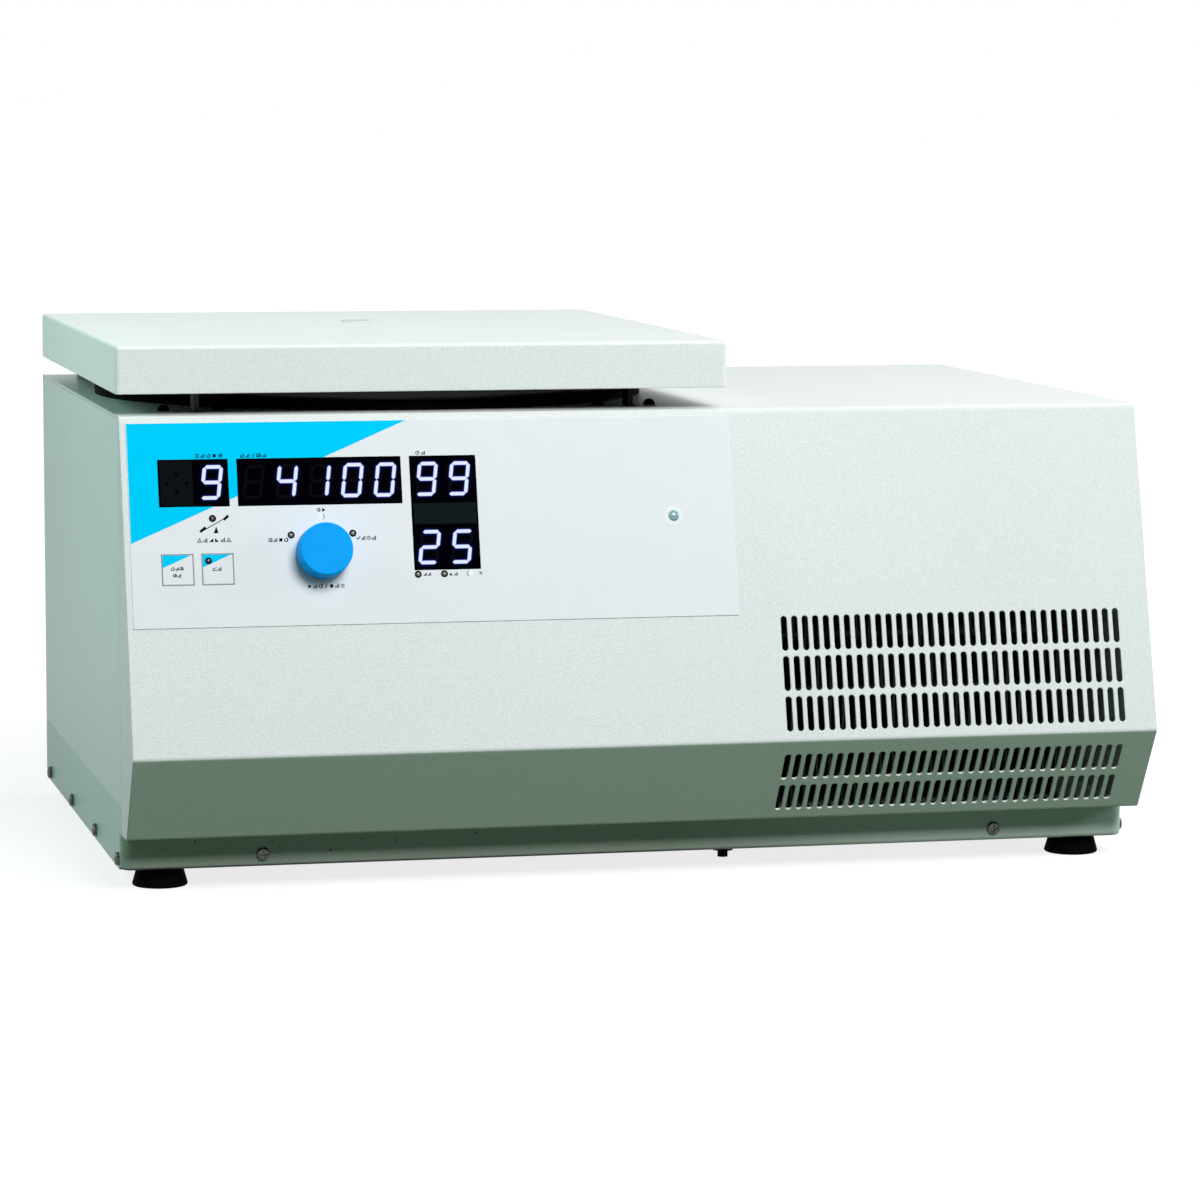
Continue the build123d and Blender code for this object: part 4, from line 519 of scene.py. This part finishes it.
def caption(x, down, names, size=1.15, pitch=3.0):
    """A row of pictograms about a place, in place of lettering."""
    names = names.split()
    shapes = []
    for number, name in enumerate(names):
        middle = x + (number - (len(names) - 1) / 2) * pitch
        for shape in PICTOGRAMS[name]:
            shapes.append([(middle + size * a, down + size * b) for a, b in shape])
    return shapes


black_print = ink("print_black", srgb(22, 26, 34))
grey_print = ink("print_grey", srgb(148, 156, 172))
cyan_print = ink("print_cyan", (0.0, 0.61, 1.0, 1.0))
white_print_and_glow = ink("print_white_and_glow", srgb(236, 242, 244))

marks = (
    caption(49.5, 23.1, "list bars turn stop list", pitch=3.3)
    + caption(74.9, 23.4, "turn bars slash gauge bars", pitch=3.15)
    + caption(170.6, 23.2, "clock bars", pitch=3.4)
    + caption(112.2, 55.0, "cog play", pitch=2.8)
    + caption(86.9, 71.7, "list bars stop turn")
    + caption(137.1, 71.5, "tick bars clock bars")
    + caption(113.0, 98.5, "play bars turn slash stop bars clock", pitch=3.1)
    + caption(50.7, 71.1, "warn bars rise fall bars warn", 1.2, 3.3)
    + caption(171.1, 92.9, "rise bars", 1.0, 2.6)
    + caption(186.4, 93.1, "fall bars", 1.0, 2.6)
    + caption(202.0, 92.9, "flake", 1.0)
)
# A beam that tips on its fulcrum, with a weight at each end, beside the imbalance light.
beam = bar((45.2, 65.4), (57.2, 58.9), 0.45)
fulcrum = [(50.6, 67.2), (53.4, 67.2), (52.2, 63.4)]
weights = [bar((43.6, 65.9), (45.6, 64.2), 1.5), bar((57.2, 59.2), (58.7, 57.8), 1.5)]
printed("print_marks", [*marks, beam, fulcrum, *weights], FACE + 0.02, black_print)
field = [(3.9, 4.3), (163.0, 4.3), (3.9, 72.4)]
printed("print_field", [field], FACE + 0.01, cyan_print)

outline_w, outline_h = 17.3, 17.0
field_w, field_h = 17.1, 7.4
corners = {"mode_key": (20.9, 79.1), "lid_key": (43.5, 79.1)}  # of the keys' outlines
for name, (left, top) in corners.items():
    field = [(left, top), (left + field_w, top), (left, top + field_h)]
    printed(f"{name}_field", [field], KEY_FACE + 0.01, cyan_print, name)
    outline = frame_lines(left, top, outline_w, outline_h, 0.5)
    printed(f"{name}_outline", outline, KEY_FACE + 0.02, grey_print, name)
mode_mark = caption(29.2, 87.0, "turn bars gauge", 1.0, 2.5)
mode_mark += caption(29.1, 90.9, "gauge bars", 1.0, 2.5)
printed("mode_key_mark", mode_mark, KEY_FACE + 0.03, black_print, "mode_key")
lid_mark = caption(51.7, 87.5, "lid bars", 1.1, 2.8)
printed("lid_key_mark", lid_mark, KEY_FACE + 0.03, black_print, "lid_key")


# ------------------------------------------------------------------ indicator lights
def dome(name, x, down, radius, height, base, look, body="cabinet", slot="led_clear"):
    """A low lens on the front."""
    rows, sides = 5, 24
    top = rows * sides
    verts = []
    for row in range(rows):
        angle = math.pi / 2 * row / rows
        around = disc(x, down, radius * math.cos(angle), sides)
        verts += [spot(a, b, base + height * math.sin(angle)) for a, b in around]
    verts.append(spot(x, down, base + height))
    faces = []
    for start in range(0, top, sides):
        for number in range(sides):
            this, after = start + number, start + (number + 1) % sides
            if start + sides < top:
                faces.append((this + sides, after + sides, after, this))
            else:
                faces.append((top, after, this))
    return piece(name, verts, faces, look, body, smooth=True)


unlit = Surface("led_unlit", srgb(120, 128, 104), 0.2).vary(0.0006, 0.3).grain(0.0007, 0.00001)
alarm = Surface("led_maroon", srgb(70, 34, 58), 0.22).vary(0.0006, 0.3).grain(0.0007, 0.00001)
shining = emitter("led_lit", (0.93, 0.97, 1.0, 1.0))
SET_LIGHT, COLD_LIGHT = (112.0, 58.8), (196.1, 92.9)
KEY_LIGHT, STATUS_LIGHT = (47.0, 82.8), (316.7, 62.0)
lights = {
    "led_program": (94.4, 69.0, unlit),
    "led_ready": (129.6, 68.7, unlit),
    "led_alarm": (50.3, 58.8, alarm),
    "led_rise": (165.9, 92.9, unlit),
    "led_fall": (181.0, 92.9, unlit),
    "led_set": (*SET_LIGHT, shining),
    "led_cold": (*COLD_LIGHT, shining),
}
bezels = []
for name, (x, down, look) in lights.items():
    lit = look is shining
    dome(f"{name}_lens", x, down, 1.45 if lit else 1.15, 0.45, FACE + 0.1, look)
    if not lit:
        bezels += ring(x, down, 2.05, 1.1)
printed("light_bezels", bezels, FACE + 0.12, black_print)
# White rings round the lit set and cold lights: painted glow of their light; and a white ring
# round the status lamp.
halo = ring(*SET_LIGHT, 2.3, 1.4) + ring(*COLD_LIGHT, 2.1, 1.4) + ring(*STATUS_LIGHT, 5.6, 3.1)
printed("light_halos", halo, FACE + 0.015, white_print_and_glow)
crescents = [
    [(x + a, down + b) for a, b in shape]
    for (x, down), first in ((SET_LIGHT, -50), (COLD_LIGHT, 130))
    for shape in arc_line(1.75, first, first + 110, 0.45)
]
printed("light_crescents", crescents, FACE + 0.13, grey_print)
key_bezel = ring(*KEY_LIGHT, 1.95, 1.0)
printed("lid_key_bezel", key_bezel, KEY_FACE + 0.04, black_print, "lid_key")
dome("lid_key_lens", *KEY_LIGHT, 1.05, 0.2, KEY_FACE, alarm, "lid_key")
dome("status_lamp_lens", *STATUS_LIGHT, 3.2, 1.4, FACE, lamp_lens, slot="lamp_grey")

# ------------------------------------------------------------------ displays
DIGIT_H, DIGIT_W, STROKE, SLANT = 19.5, 11.4, 1.9, math.tan(math.radians(8.0))
SEGMENTS = {
    "0": "abcdef",
    "1": "bc",
    "2": "abdeg",
    "4": "bcfg",
    "5": "acdfg",
    "8": "abcdefg",
    "9": "abcdfg",
}
SEGMENT_GAP = 0.16  # from a bar's point to the corner where it would meet the next
HALF_W, HALF_H = (DIGIT_W - STROKE) / 2, (DIGIT_H - STROKE) / 2
ENDS = {
    "a": ((-HALF_W, HALF_H), (HALF_W, HALF_H)),
    "b": ((HALF_W, HALF_H), (HALF_W, 0)),
    "c": ((HALF_W, 0), (HALF_W, -HALF_H)),
    "d": ((HALF_W, -HALF_H), (-HALF_W, -HALF_H)),
    "e": ((-HALF_W, -HALF_H), (-HALF_W, 0)),
    "f": ((-HALF_W, 0), (-HALF_W, HALF_H)),
    "g": ((-HALF_W, 0), (HALF_W, 0)),
}


def segment(letter, x, down, grow):
    """One bar of a digit, with pointed ends, wider by grow on every side."""
    (x0, y0), (x1, y1) = ENDS[letter]
    length = math.hypot(x1 - x0, y1 - y0)
    ux, uy = (x1 - x0) / length, (y1 - y0) / length
    half = STROKE / 2 + grow
    gap = SEGMENT_GAP - grow
    shape = []
    for along, side in (
        (gap, 0),
        (gap + half, half),
        (length - gap - half, half),
        (length - gap, 0),
        (length - gap - half, -half),
        (gap + half, -half),
    ):
        px, py = x0 + ux * along - uy * side, y0 + uy * along + ux * side
        shape.append((x + px + py * SLANT, down - py))
    return shape


def digits(text, places, grow=0.0):
    """The bars of a row of digits. A space leaves its place empty."""
    return [
        segment(letter, *place, grow)
        for character, place in zip(text, places)
        for letter in SEGMENTS.get(character, "")
    ]


CELL = 18.74  # from digit to digit in the long display
UPPER, LOWER = 38.3, 77.5  # the middles of the two rows
program_cells = [(50.6, UPPER)]
speed_cells = [(65.2 + CELL * (cell + 0.5), UPPER) for cell in range(5)]
time_cells = [(173.5, UPPER), (192.1, UPPER)]
cold_cells = [(173.3, LOWER), (192.0, LOWER)]
shown = (
    ("9", program_cells),
    (" 4100", speed_cells),
    ("99", time_cells),
    ("25", cold_cells),
)
# Round each lit bar, three wider layers of painted glow of its light: an edge, a glow and a haze.
layers = (  # the name's end, how far it grows, its place out of the glass, and its colour
    ("lit", 0.0, 0.08, (0.80, 0.87, 1.0, 1.0)),
    ("edge", 0.2, 0.07, (0.14, 0.19, 0.78, 1.0)),
    ("glow", 0.5, 0.06, (0.008, 0.012, 0.16, 1.0)),
    ("haze", 1.3, 0.05, (0.0004, 0.0006, 0.018, 1.0)),
)
for name, grow, out, color in layers:
    bars = [shape for text, places in shown for shape in digits(text, places, grow)]
    look = emitter(f"segment_{name}", color)
    printed(f"segments_{name}", bars, GLASS + out, look)
ghost = Surface("segment_unlit", (0.0035, 0.0040, 0.0065, 1.0), 0.6, specular=0.0)
ghost.vary(0.002, 0.2).grain(0.0006, 0.00001)
unlit_bars = digits("8888 ", speed_cells) + digits("88", cold_cells) + digits("88", time_cells)
printed("segments_unlit", unlit_bars, GLASS + 0.045, ghost)


def rectangle(left, top, right, bottom):
    """A shape with four corners."""
    return [(left, top), (right, top), (right, bottom), (left, bottom)]


blocks = (rectangle(21.7, 26.0, 40.1, 51.3), rectangle(165.2, 52.2, 201.4, 64.2))
for number, (block, matt) in enumerate(zip(blocks, matt_blocks)):
    printed(f"display_block_{number}", [block], GLASS + 0.01, matt)
dot_places = ((30.9, 33.6), (36.5, 38.6), (30.9, 43.6), (25.3, 38.6))
block_dots = [disc(x, down, 1.1) for x, down in dot_places]
printed("display_block_dots", block_dots, GLASS + 0.02, window)

# ------------------------------------------------------------------ marks on the power switch
# The rocker's face is hollow: it rises from the middle to both ends, which lie 10.4 mm away.
PIVOT = Vector((0.234, 0.2098, 0.070))
LEAN = math.radians(12)  # upwards, at rest
AWAY = Vector((0, math.cos(LEAN), math.sin(LEAN)))
ALONG = Vector((0, -math.sin(LEAN), math.cos(LEAN)))
HOLLOW, TIP, REACH = 2.4, 4.2, 10.4  # the face's middle and ends, out from the pivot
stroke, circle = [bar((0, -2.2), (0, 2.2), 1.0)], ring(0, 0, 2.3, 1.6, 20)
verts, faces = [], []
for side, shapes in ((1, stroke), (-1, circle)):
    middle = PIVOT + (AWAY * (HOLLOW + TIP) + ALONG * REACH * side) / 2 * MM
    rise = (AWAY * (TIP - HOLLOW) + ALONG * REACH * side).normalized()
    proud = (AWAY * REACH - ALONG * (TIP - HOLLOW) * side).normalized() * 0.04
    more, loops = flat(shapes, lambda x, up: middle + (RIGHT * x + rise * up + proud) * MM, side)
    faces += [[number + len(verts) for number in loop] for loop in loops]
    verts += more
piece("rocker_marks", verts, faces, white_print_and_glow, "power_rocker")

# ------------------------------------------------------------------ floor, light and camera
half = 30
stage = bpy.data.meshes.new("floor")
corners = [(-half, -half, 0), (half, -half, 0), (half, half, 0), (-half, half, 0)]
stage.from_pydata(corners, [], [(0, 1, 2, 3)])
floor = bpy.data.objects.new("floor", stage)
bpy.context.scene.collection.objects.link(floor)


def seen_directly(tree):
    """1 where the camera, a reflection or a view through glass meets the surface."""
    light = add_node(tree, "ShaderNodeLightPath")
    total = light.outputs["Is Camera Ray"]
    for name in ("Is Glossy Ray", "Is Transmission Ray"):
        either = add_node(tree, "ShaderNodeMath", operation="MAXIMUM")
        tree.links.new(total, either.inputs[0])
        tree.links.new(light.outputs[name], either.inputs[1])
        total = either.outputs[0]
    return total


def show(tree, seen, otherwise, output):
    """Give the output one shader where it is seen directly, and another for all other light."""
    mix = add_node(tree, "ShaderNodeMixShader")
    tree.links.new(seen_directly(tree), mix.inputs["Fac"])
    tree.links.new(otherwise.outputs[0], mix.inputs[1])
    tree.links.new(seen.outputs[0], mix.inputs[2])
    tree.links.new(mix.outputs[0], tree.nodes[output].inputs["Surface"])


# The floor: plain, white from a distance, and with the object's shadow near it.
floor_material = bpy.data.materials.new("floor")
floor_material.use_nodes = True
tree = floor_material.node_tree
tree.nodes.remove(tree.nodes["Principled BSDF"])
plain = add_node(tree, "ShaderNodeBsdfDiffuse")
plain.inputs["Color"].default_value = (0.035, 0.085, 0.045, 1.0)
bright = add_node(tree, "ShaderNodeBsdfDiffuse")
bright.inputs["Color"].default_value = (0.30, 0.30, 0.30, 1.0)
place = add_node(tree, "ShaderNodeTexCoord")
away = add_node(tree, "ShaderNodeVectorMath", operation="LENGTH")
fade = add_node(tree, "ShaderNodeMapRange")
for key, value in (("From Min", 0.4), ("From Max", 0.9), ("To Min", 0.80), ("To Max", 1.0)):
    fade.inputs[key].default_value = value
lift = add_node(tree, "ShaderNodeEmission")
both = add_node(tree, "ShaderNodeAddShader")
tree.links.new(place.outputs["Object"], away.inputs[0])
tree.links.new(away.outputs["Value"], fade.inputs["Value"])
tree.links.new(fade.outputs["Result"], lift.inputs["Strength"])
tree.links.new(bright.outputs[0], both.inputs[0])
tree.links.new(lift.outputs[0], both.inputs[1])
show(tree, both, plain, "Material Output")
stage.materials.append(floor_material)

# The world: white where it is seen, and a faint light everywhere else.
world = bpy.data.worlds.new("studio")
bpy.context.scene.world = world
world.use_nodes = True
tree = world.node_tree
ambient = tree.nodes["Background"]
ambient.inputs["Color"].default_value = (0.86, 1.0, 0.94, 1.0)
ambient.inputs["Strength"].default_value = 0.12
backdrop = add_node(tree, "ShaderNodeBackground")
backdrop.inputs["Color"].default_value = (1, 1, 1, 1)
show(tree, backdrop, ambient, "World Output")


def lamp(name, place, size, power, color=(1, 1, 1)):
    """A soft box that faces the object."""
    data = bpy.data.lights.new(name, "AREA")
    data.shape = "SQUARE"
    data.size = size
    data.energy = power
    data.color = color
    made = bpy.data.objects.new(name, data)
    made.location = place
    aim = Vector((0, 0, 0.15)) - Vector(place)
    made.rotation_euler = aim.to_track_quat("-Z", "Y").to_euler()
    made.visible_camera = False
    bpy.context.scene.collection.objects.link(made)


lamp("key", (0.35, -2.35, 1.95), 1.2, 78)
lamp("top", (0.8, 0.3, 1.5), 0.9, 4.6)
lamp("left", (-0.95, -0.1, 0.62), 0.4, 3.0, (0.55, 1.0, 0.88))
lamp("right", (1.3, -0.45, 0.6), 0.4, 4.5, (0.85, 1.0, 1.0))
lamp("rear", (0.3, 1.8, 0.08), 0.24, 14, (0.95, 1.0, 0.98))

# The camera that was fitted to the picture's view.
view = bpy.data.cameras.new("camera")
view.sensor_fit = "HORIZONTAL"
view.sensor_width = 36.0
view.lens = 137.44
view.shift_x = -0.0040
view.shift_y = 0.0195
view.clip_end = 100
camera = bpy.data.objects.new("camera", view)
camera_place = (-0.6269, -2.7190, 0.4590)
yaw, pitch, roll = math.radians(13.376), math.radians(-6.762), 0.0037
ahead = (math.sin(yaw) * math.cos(pitch), math.cos(yaw) * math.cos(pitch), math.sin(pitch))
ahead = Vector(ahead)
across = ahead.cross(Vector((0, 0, 1))).normalized()
above = across.cross(ahead)
level = math.cos(roll) * across + math.sin(roll) * above
upward = math.cos(roll) * above - math.sin(roll) * across
turn = Matrix((level, upward, -ahead)).transposed().to_4x4()
camera.matrix_world = Matrix.Translation(camera_place) @ turn
bpy.context.scene.collection.objects.link(camera)
bpy.context.scene.camera = camera
bpy.context.scene.view_settings.view_transform = "Standard"
